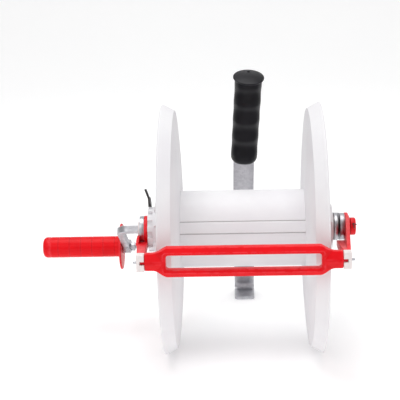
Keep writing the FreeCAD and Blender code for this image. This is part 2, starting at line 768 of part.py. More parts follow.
def bent_rod(points, radius):
    """Round wire through the points, with a ball at each corner."""
    shape = rod(points[0], points[1], radius)
    for index in range(1, len(points) - 1):
        shape = shape.fuse(Part.makeSphere(radius, points[index]))
        shape = shape.fuse(rod(points[index], points[index + 1], radius))
    return shape.removeSplitter()


# Bends of the split pin's two legs, from the end of its shank: along the axle, along the pin, across it.
LEG_BENDS = (
    ((2.0, -1.2, -0.6), (4.6, -1.4, -1.4)),
    ((0.6, -1.6, -2.6), (1.6, -2.0, -6.6)),
)


def make_split_pin():
    """Split pin: an eye behind the collar, a shank through the bar and two legs spread in front."""
    radius = size("Size.split_pin_radius")
    reach = size("Size.collar_radius + Size.split_pin_stand")
    middle = Vector(size(COLLAR_MID), 0, 0)
    end = middle - Vector(0, reach, 0)
    shank = rod(middle + Vector(0, reach, 0), end, radius)
    legs = [bent_rod([end] + [end + Vector(*bend) for bend in bends], radius * 0.7) for bends in LEG_BENDS]
    eye_radius = size("Size.split_pin_eye")
    eye_middle = middle + Vector(0, reach + eye_radius, 0)
    eye = Part.makeTorus(eye_radius, radius * 0.8, eye_middle, Vector(1, 0, 0))
    shape = shank.fuse(legs + [eye, Part.makeSphere(radius, end)]).removeSplitter()
    shape.rotate(Vector(), Vector(1, 0, 0), -size("Size.crank_angle"))
    return made_piece("split_pin", shape)


# The crank grip on its spindle.

def spindle_place(body):
    place(body, y="Size.crank_throw * cos(Size.crank_angle)", z="-Size.crank_throw * sin(Size.crank_angle)",
          axis=Vector(1, 0, 0), angle="-Size.crank_angle")


def make_crank_grip():
    """Round red grip with a guard disc at its inner end and a counterbore for the spindle's head."""
    body = new_body("crank_grip")
    sketch = new_sketch(body, "grip_profile", "XY_Plane")
    draw_outline(sketch, [
        (GUARD_IN, "Size.spindle_radius + Size.spindle_fit"),
        (GUARD_IN, "Size.guard_radius - Size.guard_thick / 2"),
        (GUARD_IN + " - Size.guard_thick * 0.3", "Size.guard_radius"),
        (GUARD_IN + " - Size.guard_thick * 0.7", "Size.guard_radius"),
        (GUARD_OUT, "Size.guard_radius - Size.guard_thick / 2"),
        (GUARD_OUT, "Size.grip_radius + Size.guard_fillet"),
        (GUARD_OUT + " - Size.guard_fillet", "Size.grip_radius"),
        (GRIP_END, "Size.grip_radius"),
        (GRIP_END, "Size.spindle_head_radius + Size.head_room"),
        (HEAD_SEAT, "Size.spindle_head_radius + Size.head_room"),
        (HEAD_SEAT, "Size.spindle_radius + Size.spindle_fit"),
    ])
    turn(body, "grip", sketch)
    spindle_place(body)
    return body


def make_grip_end_cap():
    """Rounded plug that closes the grip over the spindle's head."""
    body = new_body("grip_end_cap")
    sketch = new_sketch(body, "end_cap_profile", "XY_Plane")
    end = "(%s - Size.end_cap_length)" % GRIP_END
    plug = "Size.spindle_head_radius + Size.head_room - Size.thread_fit"
    draw_outline(sketch, [
        (GRIP_END + " + Size.plug_length", "0"),
        (GRIP_END + " + Size.plug_length", plug),
        (GRIP_END, plug),
        (GRIP_END, "Size.grip_radius"),
        (end + " + Size.end_cap_round", "Size.grip_radius", "Size.end_cap_round * " + ARC_EASE),
        (end, "Size.grip_radius - Size.end_cap_round"),
        (end, "0"),
    ])
    turn(body, "end_cap", sketch)
    spindle_place(body)
    return body


def make_spindle_bolt():
    body = new_body("spindle_bolt")
    sketch = new_sketch(body, "spindle_profile", "XY_Plane")
    head_in = "(%s - Size.grip_gap)" % HEAD_SEAT
    head_out = "(%s - Size.spindle_head_height)" % head_in
    draw_outline(sketch, [
        (head_out, "0"),
        (head_out, "Size.spindle_head_radius - Size.head_bevel"),
        (head_out + " + Size.head_bevel", "Size.spindle_head_radius"),
        (head_in, "Size.spindle_head_radius"),
        (head_in, "Size.spindle_radius"),
        (CRANK_OUT, "Size.spindle_radius"),
        (CRANK_OUT, "Size.thread_radius"),
        (THREAD_END + " - Size.thread_bevel", "Size.thread_radius"),
        (THREAD_END, "Size.thread_radius - Size.thread_bevel"),
        (THREAD_END, "0"),
    ])
    turn(body, "spindle", sketch)
    spindle_place(body)
    return body


def make_spindle_washer():
    body = new_body("spindle_washer")
    sketch = new_sketch(body, "spindle_washer_profile", "XY_Plane")
    draw_box(sketch, CRANK_IN, "Size.thread_radius + Size.screw_fit",
             CRANK_IN + " + Size.spindle_washer_thick", "Size.spindle_washer_radius")
    turn(body, "spindle_washer_ring", sketch)
    spindle_place(body)
    return body


def make_spindle_nut():
    body = new_body("spindle_nut")
    sketch = new_sketch(body, "nut_outline", "YZ_Plane", CRANK_IN + " + Size.spindle_washer_thick")
    corner = "Size.nut_flats / 2 / cos(30)"
    draw_outline(sketch, [("%s * cos(%d)" % (corner, angle), "%s * sin(%d)" % (corner, angle))
                          for angle in range(0, 360, 60)])
    draw_circle(sketch, "0", "0", "Size.thread_radius + Size.close_fit")
    pad(body, "nut", sketch, "Size.nut_height")
    spindle_place(body)
    return body


# The steel bow.

def bow_place(body, x="Size.bow_shift"):
    """Turn a piece so that its own Y runs back along the bow's arms."""
    place(body, x=x, axis=Vector(1, 0, 0), angle="-Size.bow_drop")


def make_frame_bow():
    """Flat steel bent into a U round the spool, with an eye at each arm's front end."""
    body = new_body("frame_bow")
    inner = "Size.bow_half"
    outer = "(Size.bow_half + Size.bow_thick)"
    wide = "(Size.bow_bend + Size.bow_thick)"
    sketch = new_sketch(body, "bow_outline", "XY_Plane")
    draw_outline(sketch, [
        ("-" + outer, "-Size.bow_nose"),
        ("-" + inner, "-Size.bow_nose"),
        ("-" + inner, "Size.bow_reach - " + wide, "-Size.bow_bend"),
        ("-%s + Size.bow_bend" % inner, "Size.bow_reach - Size.bow_thick"),
        (inner + " - Size.bow_bend", "Size.bow_reach - Size.bow_thick", "-Size.bow_bend"),
        (inner, "Size.bow_reach - " + wide),
        (inner, "-Size.bow_nose"),
        (outer, "-Size.bow_nose"),
        (outer, "Size.bow_reach - " + wide, wide),
        (outer + " - " + wide, "Size.bow_reach"),
        ("-%s + %s" % (outer, wide), "Size.bow_reach", wide),
        ("-" + outer, "Size.bow_reach - " + wide),
    ])
    pad(body, "bow", sketch, "Size.bow_height", both=True)
    nose = -size("Size.bow_nose")
    soften(body, "bow_noses", lambda edge: near(edge.CenterOfMass.y, nose)
           and near(edge.Length, size("Size.bow_thick")), "Size.bow_height / 2 - Size.nose_flat")
    sketch = new_sketch(body, "bow_bore", "YZ_Plane")
    draw_circle(sketch, "0", "0", "Size.bush_radius + Size.bush_fit")
    pocket(body, "bow_holes", sketch, "Size.bow_half * 3", both=True)
    sketch = new_sketch(body, "lever_bore", "YZ_Plane", "-Size.bow_half")
    draw_circle(sketch, "Size.lever_pivot_along", "Size.lever_pivot_up",
                "Size.lever_pin_radius + Size.close_fit")
    pocket(body, "lever_hole", sketch, "Size.bow_thick * 3", both=True)
    sketch = new_sketch(body, "rivet_bore", "XZ_Plane", "-Size.bow_reach")
    for sign in ("", "-"):
        draw_circle(sketch, "Size.handle_shift - Size.bow_shift", sign + "Size.rivet_spacing / 2",
                    "Size.rivet_radius + Size.close_fit")
    pocket(body, "rivet_holes", sketch, "Size.bow_thick * 3", both=True)
    bow_place(body)
    return body


def make_lever_pin():
    """Shouldered pin, riveted in the left arm, on which the lock lever turns."""
    body = new_body("lever_pin")
    sketch = new_sketch(body, "lever_pin_profile", "XY_Plane")
    shoulder = LEVER_OUT + " - Size.bow_shift - Size.thread_fit"
    head = LEVER_IN + " - Size.bow_shift + Size.screw_fit"
    draw_outline(sketch, [
        ("-Size.bow_half - Size.bow_thick - Size.lever_pin_end", "0"),
        ("-Size.bow_half - Size.bow_thick - Size.lever_pin_end", "Size.lever_pin_radius"),
        ("-Size.bow_half", "Size.lever_pin_radius"),
        ("-Size.bow_half", "Size.lever_pin_radius + Size.lever_pin_shoulder"),
        (shoulder, "Size.lever_pin_radius + Size.lever_pin_shoulder"),
        (shoulder, "Size.lever_pin_radius"),
        (head, "Size.lever_pin_radius"),
        (head, "Size.lever_pin_radius + Size.lever_pin_head"),
        (head + " + Size.lever_pin_head", "Size.lever_pin_radius + Size.lever_pin_head"),
        (head + " + Size.lever_pin_head", "0"),
    ])
    turn(body, "pin", sketch)
    place(body, x="Size.bow_shift", y=LEVER_BACK, z=LEVER_HIGH,
          axis=Vector(1, 0, 0), angle="-Size.bow_drop")
    return body


def make_lock_lever():
    """Curved lever over the ring, drawn with its tooth in a notch and then lifted clear of it."""
    body = new_body("lock_lever")
    low = "(Size.boss_outer + Size.lever_gap)"
    high = "(Size.boss_outer + Size.lever_gap + Size.lever_width)"

    def on_arc(radius, angle):
        return ("%s * cos(%s) - %s" % (radius, angle, LEVER_BACK),
                "%s * sin(%s) - %s" % (radius, angle, LEVER_HIGH))

    sketch = new_sketch(body, "lever_outline", "YZ_Plane", LEVER_OUT)
    draw_outline(sketch, [
        on_arc(low, "Size.lever_from"),
        on_arc(high, "Size.lever_from") + (high,),
        on_arc(high, "Size.lever_to"),
        on_arc(low, "Size.lever_to") + ("-" + low,),
    ])
    pad(body, "lever_plate", sketch, "Size.lever_thick")
    sketch = new_sketch(body, "lever_eye_outline", "YZ_Plane", LEVER_OUT)
    draw_circle(sketch, "0", "0", "Size.lever_eye_radius")
    pad(body, "lever_eye", sketch, "Size.lever_thick")
    sketch = new_sketch(body, "tooth_outline", "YZ_Plane", LEVER_OUT)
    tip = "Size.boss_outer - Size.notch_depth + Size.lever_gap"
    draw_box(sketch, "-Size.tooth_width / 2 - " + LEVER_BACK, tip + " - " + LEVER_HIGH,
             "Size.tooth_width / 2 - " + LEVER_BACK, low + " + Size.tooth_root - " + LEVER_HIGH)
    pad(body, "lever_tooth", sketch, "Size.lever_thick")
    sketch = new_sketch(body, "tab_outline", "XZ_Plane", LEVER_BACK)
    foot = "%s - Size.tab_root - %s" % (high, LEVER_HIGH)
    top = "%s + Size.lever_tab_height - %s" % (high, LEVER_HIGH)
    lean = "(Size.lever_tab_height + Size.tab_root) * tan(Size.lever_tab_lean)"
    draw_outline(sketch, [
        (LEVER_OUT, foot),
        (LEVER_IN, foot),
        ("%s - %s" % (LEVER_IN, lean), top),
        ("%s - %s" % (LEVER_OUT, lean), top),
    ])
    pad(body, "lever_tab", sketch, "Size.lever_width", both=True)
    sketch = new_sketch(body, "lever_pivot_bore", "YZ_Plane", LEVER_OUT)
    draw_circle(sketch, "0", "0", "Size.lever_pin_radius + Size.running_fit")
    pocket(body, "lever_pivot_hole", sketch, "Size.lever_thick * 4", both=True)
    place(body, y=LEVER_BACK, z=LEVER_HIGH, axis=Vector(1, 0, 0), angle="-Size.lever_lift")
    return body


# The wire guide.

def add_hub_plate(body, name, inner):
    """Round plate of the arm against the bow's eye."""
    sketch = new_sketch(body, name + "_outline", "YZ_Plane", inner)
    draw_circle(sketch, "0", "0", "Size.arm_hub_radius")
    pad(body, name, sketch, "Size.arm_plate")


def add_beam(body, name, plan):
    """Block of the arm over its plan, tall enough to be trimmed to the sloping beam."""
    sketch = new_sketch(body, name + "_plan", "XY_Plane", ARM_LOW)
    draw_outline(sketch, plan)
    pad(body, name, sketch, "-2 * " + ARM_LOW)


def bore_arm(body, name, inner):
    sketch = new_sketch(body, name + "_place", "YZ_Plane", inner)
    draw_circle(sketch, "0", "0", "Size.bush_radius + Size.bush_fit")
    pocket(body, name, sketch, "Size.bow_half / 2", both=True)


def make_guide_arm_left():
    """Red arm forked over the bow's front end: hub plate inside, rising beam, cheek outside."""
    name = "guide_arm_left"
    body = new_body(name)
    plate = "(%s + Size.arm_plate)" % BOW_LEFT_IN
    cheek = "(%s - Size.arm_cheek)" % BOW_LEFT_OUT
    add_hub_plate(body, name + "_plate", BOW_LEFT_IN)
    add_beam(body, name + "_beam", [
        (plate, ARM_HUB_EDGE),
        ("-" + BLOCK_IN, GUIDE_BACK),
        ("-" + BLOCK_OUT, GUIDE_BACK),
        (cheek, ARM_HUB_EDGE),
        (cheek, ARM_BACK),
        (plate, ARM_BACK),
    ])
    trim_over_beam(body, name)
    trim_under_beam(body, name)
    cut_bow_room(body, name)
    add_hub_plate(body, name + "_hub", BOW_LEFT_IN)
    add_cheek(body, name, cheek)
    bore_arm(body, name + "_axle_hole", BOW_LEFT_IN)
    place(body)
    return body


def make_guide_arm_right():
    """Red arm outside the bow: hub plate with a boss, rising beam, and a level outer plate."""
    name = "guide_arm_right"
    body = new_body(name)
    plate = "(%s + Size.arm_plate)" % BOW_RIGHT_OUT
    add_hub_plate(body, name + "_plate", BOW_RIGHT_OUT)
    add_beam(body, name + "_beam", [
        ("(%s - Size.beam_inset)" % BOW_RIGHT_IN, ARM_HUB_EDGE),
        (BLOCK_IN, GUIDE_BACK),
        (BLOCK_OUT, GUIDE_BACK),
        (plate, ARM_HUB_EDGE),
        (plate, ARM_BACK),
        (BOW_RIGHT_OUT, ARM_BACK),
        (BOW_RIGHT_OUT, ARM_HUB_EDGE),
    ])
    trim_over_beam(body, name)
    add_high_plate(body, name, BOW_RIGHT_OUT, plate)
    trim_under_beam(body, name)
    add_hub_plate(body, name + "_hub", BOW_RIGHT_OUT)
    sketch = new_sketch(body, name + "_boss_profile", "XY_Plane")
    draw_outline(sketch, [
        (plate, "0"),
        (plate + " + Size.arm_boss_height", "0"),
        (plate + " + Size.arm_boss_height", "Size.collar_radius"),
        (plate, "Size.arm_hub_radius - Size.arm_boss_edge"),
    ])
    turn(body, name + "_boss", sketch)
    bore_arm(body, name + "_axle_hole", BOW_RIGHT_OUT)
    place(body)
    return body


def add_cheek(body, name, outer):
    """Pointed cheek outside the bow, hollowed round the bush's collar."""
    sketch = new_sketch(body, name + "_cheek_outline", "YZ_Plane", outer)
    draw_outline(sketch, [
        ("-Size.overrun", "-Size.arm_hub_radius - Size.overrun"),
        ("-Size.overrun", "-Size.bar_side"),
        ("-Size.cheek_neck", "-Size.bar_side / 2 - Size.overrun / 2"),
        ("-Size.cheek_front", "-Size.bar_side / 2 - Size.overrun"),
        ("-Size.cheek_point", "-Size.bar_side - Size.overrun"),
        ("-Size.cheek_front", "-Size.arm_hub_radius + Size.cheek_lift"),
    ])
    pad(body, name + "_cheek", sketch, "Size.arm_cheek")
    sketch = new_sketch(body, name + "_collar_room", "YZ_Plane", outer)
    draw_circle(sketch, "0", "0", "Size.bush_collar_small + Size.collar_room")
    pocket(body, name + "_collar_cut", sketch, "Size.arm_cheek", backwards=True)


def trim_over_beam(body, name):
    """Cut the beam's top to a slope that rises from under the bow to the block."""
    step = "-Size.arm_hub_radius + Size.beam_step"
    above = "Size.arm_hub_radius * 3"
    past = GUIDE_BACK + " - Size.overrun"
    sketch = new_sketch(body, name + "_over_beam", "YZ_Plane")
    draw_outline(sketch, [
        ("Size.overrun", step),
        ("Size.overrun", above),
        (past, above),
        (past, ARM_TOP),
        (GUIDE_BACK, ARM_TOP),
        ("-Size.bow_nose - Size.beam_spare", step),
    ])
    pocket(body, name + "_over_cut", sketch, "Size.bow_half * 3", both=True)


def trim_under_beam(body, name):
    """Cut the beam's underside so that it rises with the top."""
    low = "-Size.arm_hub_radius - 2 * Size.overrun"
    below = ARM_LOW + " - Size.overrun"
    bottom = "(Size.guide_rise - Size.guide_end_height / 2)"
    past = GUIDE_BACK + " - Size.overrun"
    sketch = new_sketch(body, name + "_under_beam", "YZ_Plane")
    draw_outline(sketch, [
        ("Size.overrun", low),
        ("-Size.bow_nose + Size.overrun", low),
        (GUIDE_BACK, bottom),
        (past, bottom),
        (past, below),
        ("Size.overrun", below),
    ])
    pocket(body, name + "_under_cut", sketch, "Size.bow_half * 3", both=True)


def add_high_plate(body, name, plate_low, plate_high):
    """Outer plate of the right arm, level along its top from the hub to the block."""
    foot = "(Size.arm_hub_radius - Size.beam_step + Size.strip_lap)"
    sketch = new_sketch(body, name + "_strip_plan", "XY_Plane", "-" + foot)
    draw_outline(sketch, [
        (plate_low, "-Size.overrun"),
        (plate_low, ARM_HUB_EDGE),
        (BLOCK_OUT + " - Size.arm_plate", GUIDE_BACK),
        (BLOCK_OUT, GUIDE_BACK),
        (plate_high, ARM_HUB_EDGE),
        (plate_high, "-Size.overrun"),
    ])
    pad(body, name + "_strip", sketch, "%s + %s" % (ARM_TOP, foot))


def cut_bow_room(body, name):
    """Room for the bow's rounded front end inside the left fork."""
    sketch = new_sketch(body, name + "_bow_room", "YZ_Plane", BOW_LEFT_OUT)
    draw_circle(sketch, "0", "0", "Size.bow_nose + Size.nose_room")
    pocket(body, name + "_bow_cut", sketch, "Size.bow_thick", backwards=True)


def make_guide_block(name, side):
    """White nylon block at the arm's front end, bored for the guide bar's trunnion."""
    body = new_body(name)
    low = BLOCK_IN if side > 0 else "-" + BLOCK_OUT
    half = "Size.guide_end_height / 2"
    sketch = new_sketch(body, name + "_outline", "YZ_Plane", low)
    draw_box(sketch, GUIDE_FRONT, "-" + half, GUIDE_BACK, half)
    pad(body, name + "_solid", sketch, "Size.block_width")
    width = size("Size.block_width")
    soften(body, name + "_corners", lambda edge: near(edge.Length, width), "Size.block_round")
    inner = BLOCK_IN if side > 0 else "-" + BLOCK_IN
    sketch = new_sketch(body, name + "_bore_place", "YZ_Plane", inner)
    draw_circle(sketch, "-Size.guide_reach", "0", "Size.trunnion_radius + Size.running_fit")
    pocket(body, name + "_bore", sketch, "2 * (Size.trunnion_length + Size.block_gap)", both=True)
    sketch = new_sketch(body, name + "_pin_place", "YZ_Plane", inner)
    draw_circle(sketch, "-Size.guide_reach", "0", "Size.pivot_pin_radius + Size.pin_fit")
    pocket(body, name + "_pin_bore", sketch, "4 * Size.block_width", both=True)
    place(body, z="Size.guide_rise")
    return body


def make_pivot_pins():
    radius = size("Size.pivot_pin_radius")
    inner = size("Size.guide_half + Size.pivot_pin_inset")
    outer = size(BLOCK_OUT + " + Size.pivot_pin_stand")
    y = -size("Size.guide_reach")
    z = size("Size.guide_rise")
    pins = [rod(Vector(side * inner, y, z), Vector(side * outer, y, z), radius) for side in (-1, 1)]
    return made_piece("guide_pivot_pins", Part.makeCompound(pins))


def make_guide_bar():
    """Slotted bar that the wire runs through; it rocks on a trunnion at each end."""
    body = new_body("guide_bar")
    tall = "Size.guide_height / 2"
    low = "Size.guide_end_height / 2"
    upper = [
        ("Size.guide_half", low),
        ("Size.guide_shoulder_out", low),
        ("Size.guide_shoulder_in", tall),
        ("-Size.guide_shoulder_in", tall),
        ("-Size.guide_shoulder_out", low),
        ("-Size.guide_half", low),
    ]
    lower = [(x, "-" + z) for x, z in reversed(upper)]
    sketch = new_sketch(body, "guide_outline", "XZ_Plane", "Size.guide_reach")
    draw_outline(sketch, upper + lower)
    pad(body, "guide_plate", sketch, "Size.guide_depth", both=True)
    sketch = new_sketch(body, "slot_outline", "XZ_Plane", "Size.guide_reach")
    draw_box(sketch, "-Size.slot_half", "-Size.slot_height / 2", "Size.slot_half", "Size.slot_height / 2")
    pocket(body, "slot", sketch, "Size.guide_depth * 3", both=True)
    slot_half = size("Size.slot_half")
    soften(body, "slot_corners", lambda edge: near(abs(edge.CenterOfMass.x), slot_half)
           and near(edge.Length, size("Size.guide_depth")), "Size.slot_corner")
    front = size(GUIDE_FRONT)
    soften(body, "guide_slopes", lambda edge: all(near(vertex.Y, front) for vertex in edge.Vertexes)
           and abs(edge.CenterOfMass.x) < size("Size.guide_half - Size.overrun"),
           "Size.guide_slope", chamfer=True)
    for side in ("", "-"):
        for rise in ("", "-"):
            cut_end_slope(body, side, rise)
    for side in ("", "-"):
        add_trunnion(body, side)
    place(body, z="Size.guide_rise")
    return body


def cut_end_slope(body, side, rise):
    """Slope one end of the bar back from its middle ridge."""
    name = "slope_%s_%s" % ("left" if side else "right", "low" if rise else "high")
    start = "%sSize.guide_shoulder_out" % side
    before = GUIDE_FRONT + " - Size.overrun"
    slope_end = GUIDE_FRONT + " + Size.end_slope_depth"
    beyond = rise + "(Size.guide_end_height / 2 + 2 * Size.overrun)"
    sketch = new_sketch(body, name + "_outline", "YZ_Plane", start)
    draw_outline(sketch, [
        (before, rise + "Size.ridge_height / 2"),
        (GUIDE_FRONT, rise + "Size.ridge_height / 2"),
        (slope_end, rise + "(Size.guide_end_height / 2 + Size.skim)"),
        (slope_end, beyond),
        (before, beyond),
    ])
    pocket(body, name, sketch, "Size.guide_half", backwards=not side)


def add_trunnion(body, side):
    """Round end that turns in the block, bored for the pivot pin."""
    name = "trunnion_%s" % ("left" if side else "right")
    end = side + "(Size.guide_half + Size.trunnion_length)"
    sketch = new_sketch(body, name + "_outline", "YZ_Plane", side + "Size.guide_half")
    draw_circle(sketch, "-Size.guide_reach", "0", "Size.trunnion_radius")
    pad(body, name, sketch, "Size.trunnion_length", backwards=bool(side))
    sketch = new_sketch(body, name + "_bore_outline", "YZ_Plane", end)
    draw_circle(sketch, "-Size.guide_reach", "0", "Size.pivot_pin_radius + Size.running_fit")
    pocket(body, name + "_bore", sketch, "2 * Size.trunnion_length + Size.overrun", both=True)


# The handle.

def seat_frame():
    """Middle of the strap on the bow, the way along the bow's arms and the way up the bow's face."""
    drop = math.radians(size("Size.bow_drop"))
    along = Vector(0, math.cos(drop), -math.sin(drop))
    up = Vector(0, math.sin(drop), math.cos(drop))
    middle = along * size("Size.bow_reach + Size.strap_thick / 2") + Vector(size("Size.handle_shift"), 0, 0)
    return middle, along, up


def handle_line():
    """Corners of the strap's middle line from the foot's tip to the tang's end, seen from the side."""
    middle, along, up = seat_frame()
    half = size("Size.seat_half")
    ground = -size("Size.flange_radius") + size("Size.strap_thick") / 2
    heel = Vector(middle.x, size("Size.foot_heel"), ground)
    tip = Vector(middle.x, size("Size.foot_heel - Size.foot_length"), ground)
    seat_low = middle - up * half
    seat_high = middle + up * half
    lean = math.radians(size("Size.handle_lean"))
    rise = Vector(0, -math.sin(lean), math.cos(lean))
    tang = size("Size.handle_grip_start + Size.handle_grip_length - Size.tang_end_gap")
    return [tip, heel, seat_low, seat_high, seat_high + rise * tang], rise


def grip_frame():
    """Bottom middle of the handle grip, its axis, its width direction and its front-to-back direction."""
    corners, rise = handle_line()
    cant = math.radians(size("Size.strap_sideways"))
    start = size("Size.handle_grip_start")
    foot = corners[3] + rise * start + Vector(start * math.tan(cant), 0, 0)
    axis = (rise + Vector(math.tan(math.radians(size("Size.grip_sideways"))), 0, 0)).normalize()
    depth = Vector(1, 0, 0).cross(axis).normalize()
    width = axis.cross(depth).normalize() * -1
    return foot, axis, width, depth


def rounded_outline(corners, radii):
    """Closed wire in the side view through the corners, each rounded by its radius."""
    edges = []
    count = len(corners)
    ends = []
    for index in range(count):
        corner = corners[index]
        before = (corners[index - 1] - corner).normalize()
        after = (corners[(index + 1) % count] - corner).normalize()
        radius = radii[index]
        if radius <= 0:
            ends.append((corner, corner, None))
            continue
        half_angle = before.getAngle(after) / 2
        reach = radius / math.tan(half_angle)
        middle = corner + (before + after).normalize() * (radius / math.sin(half_angle) - radius)
        ends.append((corner + before * reach, corner + after * reach, middle))
    for index in range(count):
        start, finish, middle = ends[index]
        if middle is not None:
            edges.append(Part.Arc(start, middle, finish).toShape())
        following = ends[(index + 1) % count][0]
        edges.append(Part.LineSegment(finish, following).toShape())
    return Part.Wire(Part.__sortEdges__(edges))


def strip_outline(line, thickness, bend):
    """Outline of a bent strip about its middle line."""
    half = thickness / 2
    sides = []
    for sign in (1, -1):
        corners = []
        radii = []
        for index, corner in enumerate(line):
            before = (corner - line[index - 1]).normalize() if index else (line[1] - line[0]).normalize()
            after = (line[index + 1] - corner).normalize() if index < len(line) - 1 else before
            normal_before = Vector(0, -before.z, before.y)
            normal_after = Vector(0, -after.z, after.y)
            blend = (normal_before + normal_after).normalize()
            corners.append(corner + blend * (sign * half / blend.dot(normal_before)))
            left_turn = before.y * after.z - before.z * after.y
            if index in (0, len(line) - 1):
                radii.append(0)
            else:
                radii.append(bend + (-half if left_turn * sign > 0 else half))
        sides.append((corners, radii))
    corners = sides[0][0] + sides[1][0][::-1]
    radii = sides[0][1] + sides[1][1][::-1]
    return rounded_outline(corners, radii)


def make_handle_strap():
    """Steel strap: foot, seat on the bow, and the rise whose narrow end is the grip's tang."""
    line, rise = handle_line()
    width = size("Size.strap_width")
    profile = Part.Face(strip_outline(line, size("Size.strap_thick"), size("Size.strap_bend")))
    strip = profile.extrude(Vector(width * 3, 0, 0))
    strip.translate(Vector(-width * 1.5, 0, 0))
    middle_x = line[0].x
    front = Part.Face(Part.makePolygon(strap_front_corners(line, rise, width / 2)))
    blank = front.extrude(Vector(0, size("Size.foot_heel * 3"), 0))
    blank.translate(Vector(0, -size("Size.foot_heel"), 0))
    strap = strip.common(blank)
    tip = line[0].y
    thick = size("Size.strap_thick")
    corner = [edge for edge in strap.Edges if near(edge.CenterOfMass.y, tip) and near(edge.Length, thick)
              and near(abs(edge.CenterOfMass.x - middle_x), width / 2)]
    strap = strap.makeFillet(size("Size.foot_corner"), corner)
    middle, along, up = seat_frame()
    hole_radius = size("Size.rivet_radius + Size.close_fit")
    for side in (-0.5, 0.5):
        centre = middle + up * (side * size("Size.rivet_spacing")) - along * width
        strap = strap.cut(Part.makeCylinder(hole_radius, width * 2, centre, along))
    return strap


def strap_front_corners(line, rise, half):
    """Outline of the strap seen from the front: straight below the seat, leaning sideways above it."""
    middle = line[0].x
    foot_z = line[0].z - size("Size.strap_thick")
    seat_z = line[3].z
    grip_at = size("Size.handle_grip_start")
    grip_z = seat_z + grip_at * rise.z
    grip_x = middle + grip_at * math.tan(math.radians(size("Size.strap_sideways")))
    tang_length = size("Size.handle_grip_length")
    top_z = grip_z + tang_length * rise.z
    top_x = grip_x + tang_length * math.tan(math.radians(size("Size.grip_sideways")))
    tang = size("Size.tang_width") / 2
    neck_z = grip_z + size("Size.strap_into_grip") * rise.z
    shoulder_x = grip_x + size("Size.tang_skew")
    shoulder_z = grip_z + size("Size.tang_shoulder")
    rows = [(middle, half, foot_z), (middle, half, seat_z), (grip_x, half, grip_z), (grip_x, half, neck_z),
            (shoulder_x, tang, shoulder_z), (top_x, tang, top_z)]
    right = [Vector(x + wide, 0, z) for x, wide, z in rows]
    left = [Vector(x - wide, 0, z) for x, wide, z in reversed(rows)]
    return right + left + right[:1]


def finger_depth(at):
    """How deep the front of the grip is cut back at a distance from its bottom."""
    first = size("Size.finger_first")
    pitch = size("Size.finger_pitch")
    last = first + pitch * size("Size.finger_count")
    if at <= first or at >= last:
        return 0.0
    return size("Size.finger_groove") * (1 - math.cos(2 * math.pi * (at - first) / pitch)) / 2


def grip_oval(at):
    """Oval across the grip at a distance from its bottom, cut back in front by the finger groove there."""
    foot, axis, width, depth = grip_frame()
    cut = finger_depth(at)
    left_over = 1 - min(1.0, at / size("Size.grip_bottom_round"))
    narrow = size("Size.grip_bottom_share")
    ease = narrow + (1 - narrow) * math.sqrt(1 - left_over ** 2)
    across = (size("Size.handle_grip_width / 2") - cut * size("Size.groove_side_share")) * ease
    deep = (size("Size.handle_grip_depth / 2") - cut / 2) * ease
    centre = foot + axis * at - depth * (cut / 2 * ease)
    oval = Part.Ellipse(centre + width * across, centre + depth * deep, centre)
    return Part.Wire([oval.toShape()])


def make_handle_grip(strap):
    """Rubber grip lofted through ovals, with a groove for each finger in front and the tang's slot."""
    length = size("Size.handle_grip_length")
    round_end = size("Size.grip_bottom_round")
    steps = int(size("Size.finger_count")) * 4 + 3
    stations = [round_end * share for share in (0.0, 0.1, 0.4)]
    stations += [round_end + (length - round_end) * index / steps for index in range(steps + 1)]
    return Part.makeLoft([grip_oval(at) for at in stations], True, False).cut(strap)


def make_grip_cap():
    """Flared rubber cap on top of the grip, slightly crowned, with a small blind hole near its back."""
    foot, axis = grip_frame()[:2]
    radius = size("Size.grip_cap_radius")
    tall = size("Size.grip_cap_height")
    rim = size("Size.grip_cap_rim")
    bevel = size("Size.grip_cap_bevel")
    crown_at = 0.6
    crown = Vector(radius * crown_at, 0, rim + (tall - rim) * (1 - crown_at ** 2))
    corners = [Vector(0, 0, tall), Vector(), Vector(radius - bevel, 0, 0), Vector(radius, 0, bevel),
               Vector(radius, 0, rim)]
    edges = [Part.LineSegment(start, finish).toShape() for start, finish in zip(corners, corners[1:])]
    edges.append(Part.Arc(corners[-1], crown, corners[0]).toShape())
    cap = Part.Face(Part.Wire(edges)).revolve(Vector(), Vector(0, 0, 1), 360)
    hole_foot = Vector(0, size("Size.grip_cap_hole_back"), size("Size.grip_cap_floor"))
    cap = cap.cut(Part.makeCylinder(size("Size.grip_cap_hole"), tall, hole_foot))
    base = foot + axis * size("Size.handle_grip_length")
    cap.Placement = FreeCAD.Placement(base, FreeCAD.Rotation(Vector(0, 0, 1), axis))
    return cap


def make_rivets():
    """Round-headed rivets through the strap and the bow."""
    middle, along, up = seat_frame()
    radius = size("Size.rivet_radius")
    head = size("Size.rivet_head_radius")
    head_top = size("Size.rivet_head_top")
    tall = size("Size.rivet_head_height")
    behind = size("Size.strap_thick") / 2
    front = size("Size.strap_thick / 2 + Size.bow_thick")
    solids = []
    for side in (-0.5, 0.5):
        centre = middle + up * (side * size("Size.rivet_spacing"))
        shank = rod(centre - along * front, centre + along * behind, radius)
        back_head = Part.makeCone(head, head_top, tall, centre + along * behind, along)
        front_head = Part.makeCone(head, head_top, tall, centre - along * front, along * -1)
        solids.append(shank.fuse([back_head, front_head]).removeSplitter())
    return made_piece("strap_rivets", Part.makeCompound(solids))


def build_handle():
    strap = make_handle_strap()
    grip = make_handle_grip(strap)
    return [made_piece("handle_strap", strap), made_piece("handle_grip", grip),
            made_piece("grip_cap", make_grip_cap()), make_rivets()]


